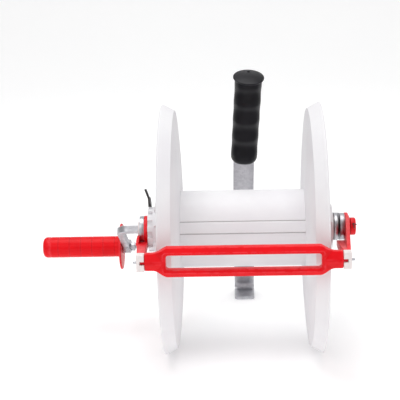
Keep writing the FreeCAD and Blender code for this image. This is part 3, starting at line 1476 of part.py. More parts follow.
def make_ring_screws():
    screw = screw_shape(size("Size.ring_screw_head_radius"), size("Size.ring_screw_head_height"),
                        size("Size.ring_screw_radius"), size("Size.ring_screw_length"))
    seat = size("-%s + Size.ring_screw_sunk" % RING_OUT)
    copies = ring_of(screw, 4, size("Size.ring_screw_circle"), size(RING_SCREW_ANGLE), seat)
    return made_piece("ring_screws", Part.makeCompound(copies))


def build_spool():
    left = make_flange("flange_left", "180", "Size.crank_angle")
    right = make_flange("flange_right", "0", "-Size.crank_angle")
    return [make_drum(), left, right, make_flange_screws(), make_lock_ring(), make_ring_screws()]


def build_axle():
    bush_left = make_bush("axle_bush_left", BUSH_LEFT_OUT, "-%s - Size.stack_gap" % RING_OUT,
                          BUSH_LEFT_OUT, BOW_LEFT_OUT + " - Size.stack_gap", "Size.bush_collar_small")
    bush_right = make_bush("axle_bush_right", BUSH_RIGHT_IN, COLLAR_IN + " - Size.stack_gap",
                           BUSH_RIGHT_IN, WASHER_IN + " - Size.stack_gap", "Size.bush_collar_radius")
    washer = make_ring("washer_right", WASHER_IN, WASHER_OUT,
                       "Size.bush_radius + Size.ring_fit", "Size.washer_radius")
    return [make_crank_axle(), bush_left, bush_right, washer, make_brake_spring(), make_axle_collar(),
            make_split_pin(), make_spindle_bolt(), make_spindle_washer(), make_spindle_nut()]


def build_guide():
    return [make_guide_arm_left(), make_guide_arm_right(),
            make_guide_block("guide_block_left", -1), make_guide_block("guide_block_right", 1),
            make_pivot_pins(), make_guide_bar()]


pieces = build_spool() + build_axle() + [make_crank_grip(), make_grip_end_cap()]
pieces += [make_frame_bow(), make_lever_pin(), make_lock_lever()] + build_guide() + build_handle()
doc.recompute()

failed = [item.Name for item in doc.Objects if "Invalid" in item.State or "Error" in item.State]
if failed:
    raise RuntimeError("failed: " + ", ".join(failed))
os.makedirs("parts", exist_ok=True)
for piece in pieces:
    piece.Label = piece.Name
    if piece.Shape.isNull() or not piece.Shape.isValid():
        raise RuntimeError(piece.Name + " has no valid shape")
    piece.Shape.exportStep("parts/%s.step" % piece.Name)
    print(piece.Name, len(piece.Shape.Solids), round(piece.Shape.Volume / 1000, 2), "cm3")
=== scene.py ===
import json
import math

import bmesh
import bpy
import numpy as np
from mathutils import Matrix, Vector

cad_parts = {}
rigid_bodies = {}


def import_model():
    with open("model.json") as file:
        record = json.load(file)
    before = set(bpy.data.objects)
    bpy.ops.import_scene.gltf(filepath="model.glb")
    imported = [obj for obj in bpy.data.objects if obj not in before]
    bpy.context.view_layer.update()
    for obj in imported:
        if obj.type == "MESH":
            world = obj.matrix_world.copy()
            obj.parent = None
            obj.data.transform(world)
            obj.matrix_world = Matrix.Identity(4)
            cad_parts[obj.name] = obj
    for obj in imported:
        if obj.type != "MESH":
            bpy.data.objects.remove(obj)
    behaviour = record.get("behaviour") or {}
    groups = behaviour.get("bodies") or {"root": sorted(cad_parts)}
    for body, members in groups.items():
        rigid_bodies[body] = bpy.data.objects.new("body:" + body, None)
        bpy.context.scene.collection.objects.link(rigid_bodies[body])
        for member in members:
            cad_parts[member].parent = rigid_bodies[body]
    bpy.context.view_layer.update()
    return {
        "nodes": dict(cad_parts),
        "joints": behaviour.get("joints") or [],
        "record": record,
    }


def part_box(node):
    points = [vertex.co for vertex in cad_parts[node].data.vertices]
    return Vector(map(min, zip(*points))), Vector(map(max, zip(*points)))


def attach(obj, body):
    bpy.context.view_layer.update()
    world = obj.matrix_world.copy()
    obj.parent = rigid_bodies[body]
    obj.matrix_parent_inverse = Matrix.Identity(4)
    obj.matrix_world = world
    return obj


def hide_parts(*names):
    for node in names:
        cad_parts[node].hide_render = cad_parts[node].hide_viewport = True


# A hand-cranked reel for electric fence wire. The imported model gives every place; this script gives the looks.
# The reel's own lengths are in millimetres from the axle's centre, the studio's and the camera's in metres.

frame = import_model()
nodes = frame["nodes"]
slotOf = {part["node"]: part["material_slot"] for part in frame["record"]["subparts"]}
jointOf = {joint["name"]: joint for joint in frame["joints"]}
axle = np.array(jointOf["spool_spin"]["pos_m"])  # centre of the axle, in metres
mm = 0.001
print("frame loaded:", len(nodes), "nodes")


# Shader helpers

def nodeTree(owner):
    # adds nodes and links by name to a material's or a group's tree
    tree = owner.node_tree if hasattr(owner, "node_tree") else owner

    def add(kind, inputs=None, **settings):
        node = tree.nodes.new(kind)
        for key, value in settings.items():
            setattr(node, key, value)
        for key, value in (inputs or {}).items():
            link(value, node, key)
        return node

    def link(value, node, key):
        socket = node.inputs[key]
        if isinstance(value, bpy.types.NodeSocket):
            tree.links.new(value, socket)
        else:
            socket.default_value = value

    return tree, add, link


def newGroup(name, inputs, outputs):
    # a shader group with named sockets; each input is (name, kind, default)
    tree = bpy.data.node_groups.new(name, "ShaderNodeTree")
    kinds = {"float": "NodeSocketFloat", "colour": "NodeSocketColor", "vector": "NodeSocketVector"}
    for label, kind, default in inputs:
        socket = tree.interface.new_socket(name=label, in_out="INPUT", socket_type=kinds[kind])
        if default is not None:
            socket.default_value = default
    for label, kind in outputs:
        tree.interface.new_socket(name=label, in_out="OUTPUT", socket_type=kinds[kind])
    _, add, link = nodeTree(tree)
    return tree, add, link, add("NodeGroupInput"), add("NodeGroupOutput")


def mathNode(add, operation, first, second=None, clamp=False):
    inputs = {0: first}
    if second is not None:
        inputs[1] = second
    return add("ShaderNodeMath", inputs, operation=operation, use_clamp=clamp).outputs[0]


def ramp(add, value, low, high):
    # 0 below low and 1 above high, smooth between
    node = add("ShaderNodeMapRange", {0: value, 1: low, 2: high, 3: 0.0, 4: 1.0},
               interpolation_type="SMOOTHSTEP")
    return node.outputs[0]


def mixColour(add, factor, first, second):  # first at factor 0, second at factor 1
    node = add("ShaderNodeMix", data_type="RGBA")
    tree = node.id_data
    for index, value in ((0, factor), (6, first), (7, second)):
        if isinstance(value, bpy.types.NodeSocket):
            tree.links.new(value, node.inputs[index])
        else:
            node.inputs[index].default_value = value
    return node.outputs[2]


def makeGrainGroup():
    # moulded or rolled skin: a coarse mottle, a fine grain and their height
    tree, add, link, given, result = newGroup("surfaceGrain", [
        ("place", "vector", None), ("coarse", "float", 40.0), ("fine", "float", 900.0), ("share", "float", 0.5)],
        [("mottle", "float"), ("grain", "float"), ("height", "float")])
    place = given.outputs["place"]
    coarse = add("ShaderNodeTexNoise", {"Vector": place, "Scale": given.outputs["coarse"], "Detail": 4.0,
                                        "Roughness": 0.6})
    fine = add("ShaderNodeTexNoise", {"Vector": place, "Scale": given.outputs["fine"], "Detail": 3.0,
                                      "Roughness": 0.7})
    height = add("ShaderNodeMix", {0: given.outputs["share"], 2: coarse.outputs["Fac"],
                                   3: fine.outputs["Fac"]})
    link(coarse.outputs["Fac"], result, "mottle")
    link(fine.outputs["Fac"], result, "grain")
    link(height.outputs[0], result, "height")
    return tree


def makeScratchGroup():
    # thin scratches: where a stretched noise crosses its middle value, thinned out by a broad noise
    tree, add, link, given, result = newGroup("fineScratches", [
        ("place", "vector", None), ("size", "float", 60.0), ("amount", "float", 0.5)], [("mask", "float")])
    lines = []
    for turn, stretch in ((0.4, (1.0, 9.0, 1.0)), (1.3, (8.0, 1.0, 1.4)), (2.2, (1.0, 1.3, 10.0))):
        mapping = add("ShaderNodeMapping", {"Vector": given.outputs["place"], "Scale": stretch,
                                            "Rotation": (turn, turn * 0.7, turn * 1.9)})
        noise = add("ShaderNodeTexNoise", {"Vector": mapping.outputs[0], "Scale": given.outputs["size"],
                                           "Detail": 2.0, "Roughness": 0.5, "Distortion": 0.4})
        away = mathNode(add, "ABSOLUTE", mathNode(add, "SUBTRACT", noise.outputs["Fac"], 0.5))
        lines.append(mathNode(add, "SUBTRACT", 1.0, ramp(add, away, 0.0, 0.006)))
    both = mathNode(add, "MAXIMUM", mathNode(add, "MAXIMUM", lines[0], lines[1]), lines[2])
    broad = add("ShaderNodeTexNoise", {"Vector": given.outputs["place"], "Scale": 22.0, "Detail": 2.0})
    where = ramp(add, broad.outputs["Fac"], 0.5, 0.72)
    mask = mathNode(add, "MULTIPLY", mathNode(add, "MULTIPLY", both, where), given.outputs["amount"])
    link(mask, result, "mask")
    return tree


def makeDustGroup():
    # dust that settles on faces that look up, broken by noise
    tree, add, link, given, result = newGroup("settledDust", [
        ("place", "vector", None), ("amount", "float", 0.3)], [("mask", "float")])
    normal = add("ShaderNodeNewGeometry").outputs["Normal"]
    upward = add("ShaderNodeSeparateXYZ", {0: normal}).outputs[2]
    noise = add("ShaderNodeTexNoise", {"Vector": given.outputs["place"], "Scale": 55.0, "Detail": 5.0,
                                       "Roughness": 0.65})
    patch = ramp(add, noise.outputs["Fac"], 0.38, 0.68)
    facing = mathNode(add, "MULTIPLY", ramp(add, upward, 0.15, 0.95), patch)
    mask = mathNode(add, "MULTIPLY", facing, given.outputs["amount"])
    link(mask, result, "mask")
    return tree


def makeRubGroup():
    # rubbed edges: the stored turn of the surface, broken by noise so that it comes and goes
    tree, add, link, given, result = newGroup("rubbedEdges", [
        ("place", "vector", None), ("amount", "float", 0.5)], [("mask", "float")])
    turn = add("ShaderNodeAttribute", attribute_name="rub", attribute_type="GEOMETRY").outputs["Fac"]
    noise = add("ShaderNodeTexNoise", {"Vector": given.outputs["place"], "Scale": 160.0, "Detail": 4.0,
                                       "Roughness": 0.7})
    broken = mathNode(add, "MULTIPLY", turn, ramp(add, noise.outputs["Fac"], 0.34, 0.62))
    link(mathNode(add, "MULTIPLY", broken, given.outputs["amount"], clamp=True), result, "mask")
    return tree


grainGroup = makeGrainGroup()
scratchGroup = makeScratchGroup()
dustGroup = makeDustGroup()
rubGroup = makeRubGroup()


def useGroup(add, tree, **inputs):
    node = add("ShaderNodeGroup", node_tree=tree)
    for label, value in inputs.items():
        socket = node.inputs[label]
        if isinstance(value, bpy.types.NodeSocket):
            node.id_data.links.new(value, socket)
        else:
            socket.default_value = value
    return node.outputs


def startMaterial(name):
    material = bpy.data.materials.new(name)
    material.use_nodes = True
    material.node_tree.nodes.clear()
    tree, add, link = nodeTree(material)
    shader = add("ShaderNodeBsdfPrincipled")
    output = add("ShaderNodeOutputMaterial")
    tree.links.new(shader.outputs[0], output.inputs["Surface"])
    place = add("ShaderNodeTexCoord").outputs["Object"]
    return material, add, link, shader, place


def addBump(add, link, shader, height, depth, strength):
    bump = add("ShaderNodeBump", {"Height": height, "Distance": depth, "Strength": strength})
    link(bump.outputs[0], shader, "Normal")


# each look's last colour is the painted shade laid into grooves and hollows
plasticLooks = {
    "white_plastic": {"base": (0.83, 0.825, 0.84, 1), "deep": (0.79, 0.775, 0.80, 1), "rough": 0.42, "spread": 0.10,
                      "coarse": 14.0, "fine": 700.0, "share": 0.4, "depth": 0.0001, "scratch": 0.30, "dust": 0.05,
                      "scratched": (0.88, 0.88, 0.89, 1), "dusty": (0.72, 0.70, 0.68, 1), "shine": 0.4, "ior": 1.40,
                      "rub": 0.25, "rubbed": (0.90, 0.90, 0.91, 1), "grime": (0.30, 0.28, 0.28, 1)},
    "pale_nylon": {"base": (0.84, 0.76, 0.75, 1), "deep": (0.76, 0.68, 0.67, 1), "rough": 0.34, "spread": 0.12,
                   "coarse": 60.0, "fine": 900.0, "share": 0.5, "depth": 0.00008, "scratch": 0.3, "dust": 0.12,
                   "scratched": (0.90, 0.86, 0.85, 1), "dusty": (0.66, 0.58, 0.55, 1), "shine": 0.4, "ior": 1.45,
                   "rub": 0.35, "rubbed": (0.92, 0.88, 0.86, 1), "grime": (0.35, 0.25, 0.24, 1)},
    "red_plastic": {"base": (0.82, 0.0, 0.006, 1), "deep": (0.70, 0.0, 0.005, 1), "rough": 0.36, "spread": 0.14,
                    "coarse": 26.0, "fine": 800.0, "share": 0.45, "depth": 0.0001, "scratch": 0.35, "dust": 0.03,
                    "scratched": (0.90, 0.05, 0.06, 1), "dusty": (0.80, 0.12, 0.12, 1), "shine": 0.35, "ior": 1.33,
                    "rub": 0.55, "rubbed": (0.95, 0.07, 0.09, 1), "grime": (0.20, 0.0, 0.004, 1)},
    "black_rubber": {"base": (0.0035, 0.0030, 0.0050, 1), "deep": (0.007, 0.0065, 0.010, 1), "rough": 0.36,
                     "spread": 0.16, "coarse": 40.0, "fine": 620.0, "share": 0.75, "depth": 0.0002, "scratch": 0.2,
                     "scratched": (0.03, 0.03, 0.035, 1), "dusty": (0.07, 0.068, 0.075, 1), "dust": 0.05,
                     "shine": 0.30, "ior": 1.42, "rub": 0.35, "rubbed": (0.03, 0.028, 0.036, 1),
                     "grime": (0.001, 0.001, 0.0015, 1)},
}


def makePlastic(name, look):
    # moulded skin: mottled colour, fine grain in height and roughness, pale scratches and edges, painted shade in
    # grooves and hollows, dust
    material, add, link, shader, place = startMaterial(name)
    grain = useGroup(add, grainGroup, place=place, coarse=look["coarse"], fine=look["fine"], share=look["share"])
    scratches = useGroup(add, scratchGroup, place=place, size=70.0, amount=look["scratch"])["mask"]
    dust = useGroup(add, dustGroup, place=place, amount=look["dust"])["mask"]
    rub = useGroup(add, rubGroup, place=place, amount=look["rub"])["mask"]
    # painted shade: the mesh's stored darkening of grooves, ring marks and holes, mixed toward a dark colour
    grime = add("ShaderNodeAttribute", attribute_name="grime", attribute_type="GEOMETRY").outputs["Fac"]
    colour = mixColour(add, ramp(add, grain["mottle"], 0.35, 0.7), look["base"], look["deep"])
    colour = mixColour(add, scratches, colour, look["scratched"])
    colour = mixColour(add, rub, colour, look["rubbed"])
    colour = mixColour(add, dust, colour, look["dusty"])
    colour = mixColour(add, grime, colour, look["grime"])
    shader.inputs["Specular IOR Level"].default_value = look["shine"]
    shader.inputs["IOR"].default_value = look["ior"]
    link(colour, shader, "Base Color")
    rough = add("ShaderNodeMapRange", {0: grain["grain"], 1: 0.3, 2: 0.7, 3: look["rough"] - look["spread"] / 2,
                                       4: look["rough"] + look["spread"] / 2}).outputs[0]
    rough = mathNode(add, "ADD", rough, mathNode(add, "MULTIPLY", dust, 0.5), clamp=True)
    link(rough, shader, "Roughness")
    height = mathNode(add, "SUBTRACT", grain["height"], mathNode(add, "MULTIPLY", scratches, 0.6))
    addBump(add, link, shader, height, look["depth"], 0.6)
    return material


metalLooks = {
    "zinc_steel": {"base": (0.56, 0.56, 0.585, 1), "dull": (0.47, 0.47, 0.50, 1), "rough": 0.38, "spread": 0.16,
                   "metal": 1.0, "spangle": 420.0, "dust": 0.10, "scratch": 0.5, "bright": (0.74, 0.74, 0.76, 1)},
    "dark_steel": {"base": (0.13, 0.125, 0.12, 1), "dull": (0.07, 0.06, 0.055, 1), "rough": 0.36, "spread": 0.2,
                   "metal": 1.0, "spangle": 400.0, "dust": 0.05, "scratch": 0.5, "bright": (0.4, 0.4, 0.4, 1)},
    "black_steel": {"base": (0.012, 0.012, 0.013, 1), "dull": (0.02, 0.019, 0.018, 1), "rough": 0.40, "spread": 0.2,
                    "metal": 0.0, "spangle": 300.0, "dust": 0.05, "scratch": 0.5, "bright": (0.15, 0.15, 0.15, 1)},
}


def makeMetal(name, look):
    # plated or painted steel: crystal patches, cloudy tarnish, scratches and a trace of dust
    material, add, link, shader, place = startMaterial(name)
    spangle = add("ShaderNodeTexVoronoi", {"Vector": place, "Scale": look["spangle"]}, feature="F1")
    patch = add("ShaderNodeSeparateColor", {0: spangle.outputs["Color"]}).outputs[0]
    grain = useGroup(add, grainGroup, place=place, coarse=35.0, fine=1200.0, share=0.6)
    scratches = useGroup(add, scratchGroup, place=place, size=90.0, amount=look["scratch"])["mask"]
    dust = useGroup(add, dustGroup, place=place, amount=look["dust"])["mask"]
    cloud = mathNode(add, "ADD", mathNode(add, "MULTIPLY", grain["mottle"], 0.75),
                     mathNode(add, "MULTIPLY", patch, 0.25))
    colour = mixColour(add, ramp(add, cloud, 0.3, 0.7), look["base"], look["dull"])
    colour = mixColour(add, scratches, colour, look["bright"])
    colour = mixColour(add, dust, colour, (0.55, 0.53, 0.51, 1))
    link(colour, shader, "Base Color")
    shader.inputs["Metallic"].default_value = look["metal"]
    rough = add("ShaderNodeMapRange", {0: cloud, 1: 0.25, 2: 0.75, 3: look["rough"] - look["spread"] / 2,
                                       4: look["rough"] + look["spread"] / 2}).outputs[0]
    link(mathNode(add, "ADD", rough, mathNode(add, "MULTIPLY", dust, 0.4), clamp=True), shader, "Roughness")
    height = mathNode(add, "SUBTRACT", grain["height"], scratches)
    addBump(add, link, shader, height, 0.00006, 0.5)
    return material


finishes = {name: makePlastic(name + "Finish", look) for name, look in plasticLooks.items()}
finishes.update({name: makeMetal(name + "Finish", look) for name, look in metalLooks.items()})
for name, item in nodes.items():
    item.data.materials.clear()
    item.data.materials.append(finishes[slotOf[name]])
print("finishes made:", len(finishes))


# Mesh helpers: a shell is (points, faces, painted shade in its hollows), its points in millimetres from the axle

def boxOf(node):  # a node's box in millimetres from the axle
    low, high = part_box(node)
    return (np.array(low) - axle) / mm, (np.array(high) - axle) / mm


def gridShell(rows, wrapAcross=False, wrapAlong=False, caps=False, grime=None):
    # rows[i, j] to four-sided faces between neighbours; each open end can be closed by one flat face
    high, wide = rows.shape[:2]
    index = np.arange(high * wide).reshape(high, wide)
    if wrapAcross:
        index = np.concatenate([index, index[:, :1]], 1)
    if wrapAlong:
        index = np.concatenate([index, index[:1]], 0)
    faces = np.stack([index[:-1, :-1], index[1:, :-1], index[1:, 1:], index[:-1, 1:]], -1)
    faces = faces.reshape(-1, 4).tolist()
    if caps:
        faces.append(np.arange(wide).tolist())
        faces.append((np.arange(wide)[::-1] + (high - 1) * wide).tolist())
    # each point's painted shade, none where not given
    marks = np.zeros(high * wide) if grime is None else np.asarray(grime, float).ravel()
    return rows.reshape(-1, 3), faces, marks


def turnedShell(profile, steps=72, closed=False, grime=None):
    # each profile point (x, r) carried round a circle about the X axis
    profile = np.asarray(profile, float)
    angle = np.linspace(0, 2 * math.pi, steps, endpoint=False)
    rows = np.stack([np.repeat(profile[:, :1], steps, 1), profile[:, 1:] * np.cos(angle),
                     profile[:, 1:] * np.sin(angle)], -1)
    marks = None if grime is None else np.repeat(np.asarray(grime, float)[:, None], steps, 1)
    return gridShell(rows, wrapAcross=True, wrapAlong=closed, caps=not closed, grime=marks)


def moved(shell, turn=None, shift=(0, 0, 0)):
    points, faces, marks = shell
    if turn is not None:
        points = points @ np.array(turn).T
    return points + np.array(shift, float), faces, marks


def turnX(degrees):  # turning matrix about the X axis
    c, s = math.cos(math.radians(degrees)), math.sin(math.radians(degrees))
    return np.array([[1, 0, 0], [0, c, -s], [0, s, c]])


def frameFrom(axis, first):  # columns: first direction, second direction, axis
    axis = np.asarray(axis, float) / np.linalg.norm(axis)
    first = np.asarray(first, float) - axis * np.dot(first, axis)
    first /= np.linalg.norm(first)
    return np.stack([first, np.cross(axis, first), axis], 1)


def roundedLine(corners, radii, steps=5):
    # an open line through corners, each replaced by a curve of second degree between two tangent points
    corners = np.asarray(corners, float)
    points = [corners[:1]]
    for index in range(1, len(corners) - 1):
        corner = corners[index]
        before, after = corners[index - 1] - corner, corners[index + 1] - corner
        reach = min(radii[index], np.linalg.norm(before) * 0.49, np.linalg.norm(after) * 0.49)
        start = corner + before / np.linalg.norm(before) * reach
        end = corner + after / np.linalg.norm(after) * reach
        t = np.linspace(0, 1, steps)[:, None]
        points.append(start * (1 - t) ** 2 + corner * 2 * t * (1 - t) + end * t ** 2)
    points.append(corners[-1:])
    return np.concatenate(points)


def roundedLoop(corners, radii, steps=5):  # the same for a closed outline
    corners = np.asarray(corners, float)
    middle = (corners[-1] + corners[0]) / 2
    return roundedLine(np.concatenate([[middle], corners, [middle]]), [0] + list(radii) + [0], steps)[:-1]


def tubeShell(path, radius, sides=10):
    # a circle carried along a path, its directions turned with the path step by step
    path = np.asarray(path, float)
    ahead = np.gradient(path, axis=0)
    ahead /= np.linalg.norm(ahead, axis=1)[:, None]
    first = np.cross(ahead[0], [0.31, 0.77, 0.55])
    angle = np.linspace(0, 2 * math.pi, sides, endpoint=False)
    rows = []
    for spot, way in zip(path, ahead):
        first = first - way * np.dot(first, way)
        first /= np.linalg.norm(first)
        second = np.cross(way, first)
        rows.append(spot + radius * (np.outer(np.cos(angle), first) + np.outer(np.sin(angle), second)))
    return gridShell(np.array(rows), wrapAcross=True, caps=True)


def smoothPath(points, steps=8):  # a curve through the points, each stretch a cubic with shared slopes
    points = np.asarray(points, float)
    slopes = np.gradient(points, axis=0)
    t = np.linspace(0, 1, steps, endpoint=False)[:, None]
    parts = [a * (2 * t ** 3 - 3 * t ** 2 + 1) + b * (3 * t ** 2 - 2 * t ** 3) + sa * (t ** 3 - 2 * t ** 2 + t)
             + sb * (t ** 3 - t ** 2) for a, b, sa, sb in zip(points[:-1], points[1:], slopes[:-1], slopes[1:])]
    return np.concatenate(parts + [points[-1:]])


def storeRub(mesh):  # the rubbed edges' mask, as an attribute of the mesh
    # how sharply the surface turns outward at each point: the change of normal along each edge over its length
    spots, normals = np.empty(len(mesh.vertices) * 3), np.empty(len(mesh.vertices) * 3)
    mesh.vertices.foreach_get("co", spots)
    mesh.vertex_normals.foreach_get("vector", normals)
    spots, normals = spots.reshape(-1, 3), normals.reshape(-1, 3)
    ends = np.empty(len(mesh.edges) * 2, int)
    mesh.edges.foreach_get("vertices", ends)
    start, end = ends.reshape(-1, 2).T
    step = spots[end] - spots[start]
    turn = ((normals[end] - normals[start]) * step).sum(1) / np.maximum((step ** 2).sum(1), 1e-12)
    rub = np.zeros(len(mesh.vertices))
    np.maximum.at(rub, start, turn)
    np.maximum.at(rub, end, turn)
    values = np.clip((rub - 150) / 700, 0, 1)  # none above a radius of 7 mm, all below 1.2 mm
    mesh.attributes.new("rub", "FLOAT", "POINT").data.foreach_set("value", values)


def finishMesh(mesh, node, sharp):
    mesh.polygons.foreach_set("use_smooth", np.ones(len(mesh.polygons), bool))
    mesh.set_sharp_from_angle(angle=math.radians(sharp))
    storeRub(mesh)
    mesh.materials.clear()
    mesh.materials.append(finishes[slotOf[node]])


def standFor(item, node):  # the object is shown instead of the node and moves with the node's body
    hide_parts(node)
    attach(item, nodes[node].parent.name.split(":")[1])


def makePiece(name, node, shells, sharp=38):
    # joins the shells in one mesh, turns every closed shell's faces outward and lets it stand for the node
    points, faces, marks, first = [], [], [], 0
    for shellPoints, shellFaces, shellMarks in shells:
        points.append(shellPoints)
        marks.append(shellMarks)
        faces += [[first + spot for spot in face] for face in shellFaces]
        first += len(shellPoints)
    mesh = bpy.data.meshes.new(name)
    mesh.from_pydata((np.concatenate(points) * mm + axle).tolist(), [], faces)
    # the painted shade of grooves and hollows goes with the mesh as an attribute
    mesh.attributes.new("grime", "FLOAT", "POINT").data.foreach_set("value", np.concatenate(marks))
    work = bmesh.new()
    work.from_mesh(mesh)
    bmesh.ops.recalc_face_normals(work, faces=work.faces)
    work.to_mesh(mesh)
    work.free()
    finishMesh(mesh, node, sharp)
    item = bpy.data.objects.new(name, mesh)
    bpy.context.scene.collection.objects.link(item)
    standFor(item, node)


def finishedCopy(name, node, width):
    # a merged copy of a node with its sharp edges rounded by a bevel
    mesh = nodes[node].data.copy()
    mesh.name = name
    work = bmesh.new()
    work.from_mesh(mesh)
    bmesh.ops.remove_doubles(work, verts=work.verts, dist=2e-6)
    bmesh.ops.dissolve_limit(work, angle_limit=math.radians(0.4), verts=work.verts, edges=work.edges)
    work.to_mesh(mesh)
    work.free()
    item = bpy.data.objects.new(name, mesh)
    bpy.context.scene.collection.objects.link(item)
    bevel = item.modifiers.new("roundedEdges", "BEVEL")
    bevel.width = width * mm
    bevel.segments = 2
    bevel.limit_method = "ANGLE"
    bevel.angle_limit = math.radians(34)
    made = bpy.data.meshes.new_from_object(item.evaluated_get(bpy.context.evaluated_depsgraph_get()))
    item.modifiers.clear()
    item.data = made
    finishMesh(made, node, 38)
    standFor(item, node)


# Drum

drum = {"radius": 42.9, "wall": 3.0, "halfLength": 68.28, "seamAngle": 164.5, "seamWidth": 13.0, "seamHeight": 0.6,
        "grooveWidth": 0.9, "grooveDepth": 0.7}


def makeDrum():
    # the radius against the way round: a raised strip with a fine groove along each of its edges
    half = drum["seamWidth"] / 2
    fine = np.array([-3, -1.2, -0.75, -0.45, -0.2, 0, 0.2, 0.45, 0.75, 1.2, 3])
    strip = np.concatenate([-half + fine, np.linspace(-half + 3.2, half - 3.2, 5)[1:-1], half + fine])
    reach = half + 3.2
    rest = np.linspace(reach, 2 * math.pi * drum["radius"] - reach, 110)
    across = np.sort(np.concatenate([strip, rest]))  # millimetres round the drum from the strip's middle
    groove = np.exp(-((np.abs(across) - half) / (drum["grooveWidth"] * 0.5)) ** 2)
    raised = np.clip((half - np.abs(across)) / 0.3 + 0.5, 0, 1)
    radius = drum["radius"] + drum["seamHeight"] * raised - drum["grooveDepth"] * groove
    angle = math.radians(drum["seamAngle"]) + across / drum["radius"]
    x = np.linspace(-drum["halfLength"], drum["halfLength"], 32)
    bore = drum["radius"] - drum["wall"]
    tube = [np.stack([np.repeat(at[:, None], len(angle), 1), np.tile(size * np.cos(angle), (len(at), 1)),
                      np.tile(size * np.sin(angle), (len(at), 1))], -1)
            for at, size in ((x, radius), (x[::-1], bore))]
    # the grooves get painted shade, strongest at their bottoms
    marks = np.concatenate([np.tile(groove * 0.75, (len(x), 1)), np.zeros((len(x), len(angle)))])
    shell = gridShell(np.concatenate(tube), wrapAcross=True, wrapAlong=True, grime=marks)
    makePiece("drumTube", "drum", [shell])


makeDrum()
print("drum made")


# Wire guide

guide = {"reach": 152.5, "rise": 6.2, "depth": 11.0, "halfLength": 98.5, "endHeight": 17.5, "height": 30.5,
         "shoulderIn": 77.0, "shoulderOut": 88.0, "slotHalf": 77.4, "slotHeight": 15.0, "slotCorner": 3.2,
         "crest": 2.8, "crestDrop": 1.6, "outDrop": 3.4, "ridgeHalf": 1.3, "ridgeDrop": 4.6, "trunnion": 2.6,
         "trunnionLength": 4.5, "pin": 1.38, "throat": 1.75, "slack": 0.12, "blockIn": 98.8, "blockMid": 103.3,
         "blockOut": 106.6, "blockRound": 1.3, "edgeRound": 0.5, "pinRadius": 1.3, "pinIn": 99.7, "pinOut": 110.2}


def guideFront(x, z):
    # how far the front lies below its crest: a crest runs round the slot, a ridge runs on to each end
    overX = np.abs(x) - guide["slotHalf"]
    overZ = np.abs(z) - guide["slotHeight"] / 2
    outside = np.hypot(np.clip(overX, 0, None), np.clip(overZ, 0, None))
    outside = outside + np.minimum(np.maximum(overX, overZ), 0)
    inward = np.clip(guide["crest"] - outside, 0, None) / guide["crest"] * guide["crestDrop"]
    band = (guide["height"] - guide["slotHeight"]) / 2 - guide["crest"]
    slope = np.clip(outside - guide["crest"], 0, None) / band * guide["outDrop"]
    ridge = np.clip(np.abs(z) - guide["ridgeHalf"], 0, None)
    ridge = ridge / (guide["endHeight"] / 2 - guide["ridgeHalf"]) * guide["ridgeDrop"]
    return inward + np.minimum(np.where(overX > 0, np.minimum(slope, ridge), slope), guide["ridgeDrop"])


def guideOutlines(steps=26):
    # the slot's edge and the bar's outline, point for point, from the right end's middle and round
    slotZ, endZ, topZ = guide["slotHeight"] / 2, guide["endHeight"] / 2, guide["height"] / 2
    corner, slotX, tipX = guide["slotCorner"], guide["slotHalf"], guide["halfLength"]
    rise = np.sin(np.linspace(0, math.pi / 2, 14))
    turn = np.linspace(0, math.pi / 2, steps)
    innerTurn = np.stack([slotX - corner + corner * np.cos(turn), slotZ - corner + corner * np.sin(turn)], 1)
    way = roundedLine([(tipX, endZ - 1), (tipX, endZ), (guide["shoulderOut"], endZ),
                       (guide["shoulderIn"], topZ), (slotX - corner, topZ)], [0, 0.9, 4, 4, 0])
    length = np.concatenate([[0], np.cumsum(np.linalg.norm(np.diff(way, axis=0), axis=1))])
    at = np.linspace(0, length[-1], steps)
    outerTurn = np.stack([np.interp(at, length, way[:, 0]), np.interp(at, length, way[:, 1])], 1)
    run = np.linspace(1, 0, 40)[1:-1] * (slotX - corner)
    inner = np.concatenate([np.stack([np.full(14, slotX), (slotZ - corner) * rise], 1), innerTurn[1:],
                            np.stack([run, np.full(38, slotZ)], 1)])
    outer = np.concatenate([np.stack([np.full(14, tipX), (endZ - 1) * rise], 1), outerTurn[1:],
                            np.stack([run, np.full(38, topZ)], 1)])

    def allRound(quarter):  # the quarter mirrored into the other three
        top = np.concatenate([quarter, [[0, quarter[-1, 1]]], quarter[::-1] * [-1, 1]])
        return np.concatenate([top, top[::-1][1:-1] * [1, -1]])

    return allRound(inner), allRound(outer)


def makeGuideBar():
    # a closed ring surface: the front between the two outlines, the outer edge, the flat back and the slot's wall
    inner, outer = guideOutlines()
    front, back = -guide["reach"] - guide["depth"] / 2, -guide["reach"] + guide["depth"] / 2
    rows = []
    for share in np.linspace(0, 1, 28):
        spot = inner + (outer - inner) * share
        rounding = 0.6 * (max(0.0, 1 - share * 20) + max(0.0, 1 - (1 - share) * 20)) ** 2
        rows.append(np.stack([spot[:, 0], front + guideFront(spot[:, 0], spot[:, 1]) + rounding, spot[:, 1]], 1))
    for share, deep in ((1.0, 0.9), (1.0, 0.35), (0.99, 0.0), (0.5, 0.0), (0.02, 0.0), (0.0, 0.4)):
        spot = inner + (outer - inner) * share
        rows.append(np.stack([spot[:, 0], np.full(len(spot), back - deep), spot[:, 1]], 1))
    shells = [gridShell(np.array(rows), wrapAcross=True, wrapAlong=True)]
    start, end = guide["halfLength"] - 1.5, guide["halfLength"] + guide["trunnionLength"]
    ring = roundedLoop([(start, guide["trunnion"]), (end, guide["trunnion"]), (end, guide["pin"]),
                        (start, guide["pin"])], [0.1, 0.5, 0.3, 0.1])
    for side in (-1, 1):
        trunnion = turnedShell(ring, 40, closed=True)
        shells.append(moved(trunnion, np.diag([side, 1, 1]), (0, -guide["reach"], 0)))
    shells = [moved(shell, shift=(0, 0, guide["rise"])) for shell in shells]
    makePiece("guideBar", "guide_bar", shells, sharp=24)


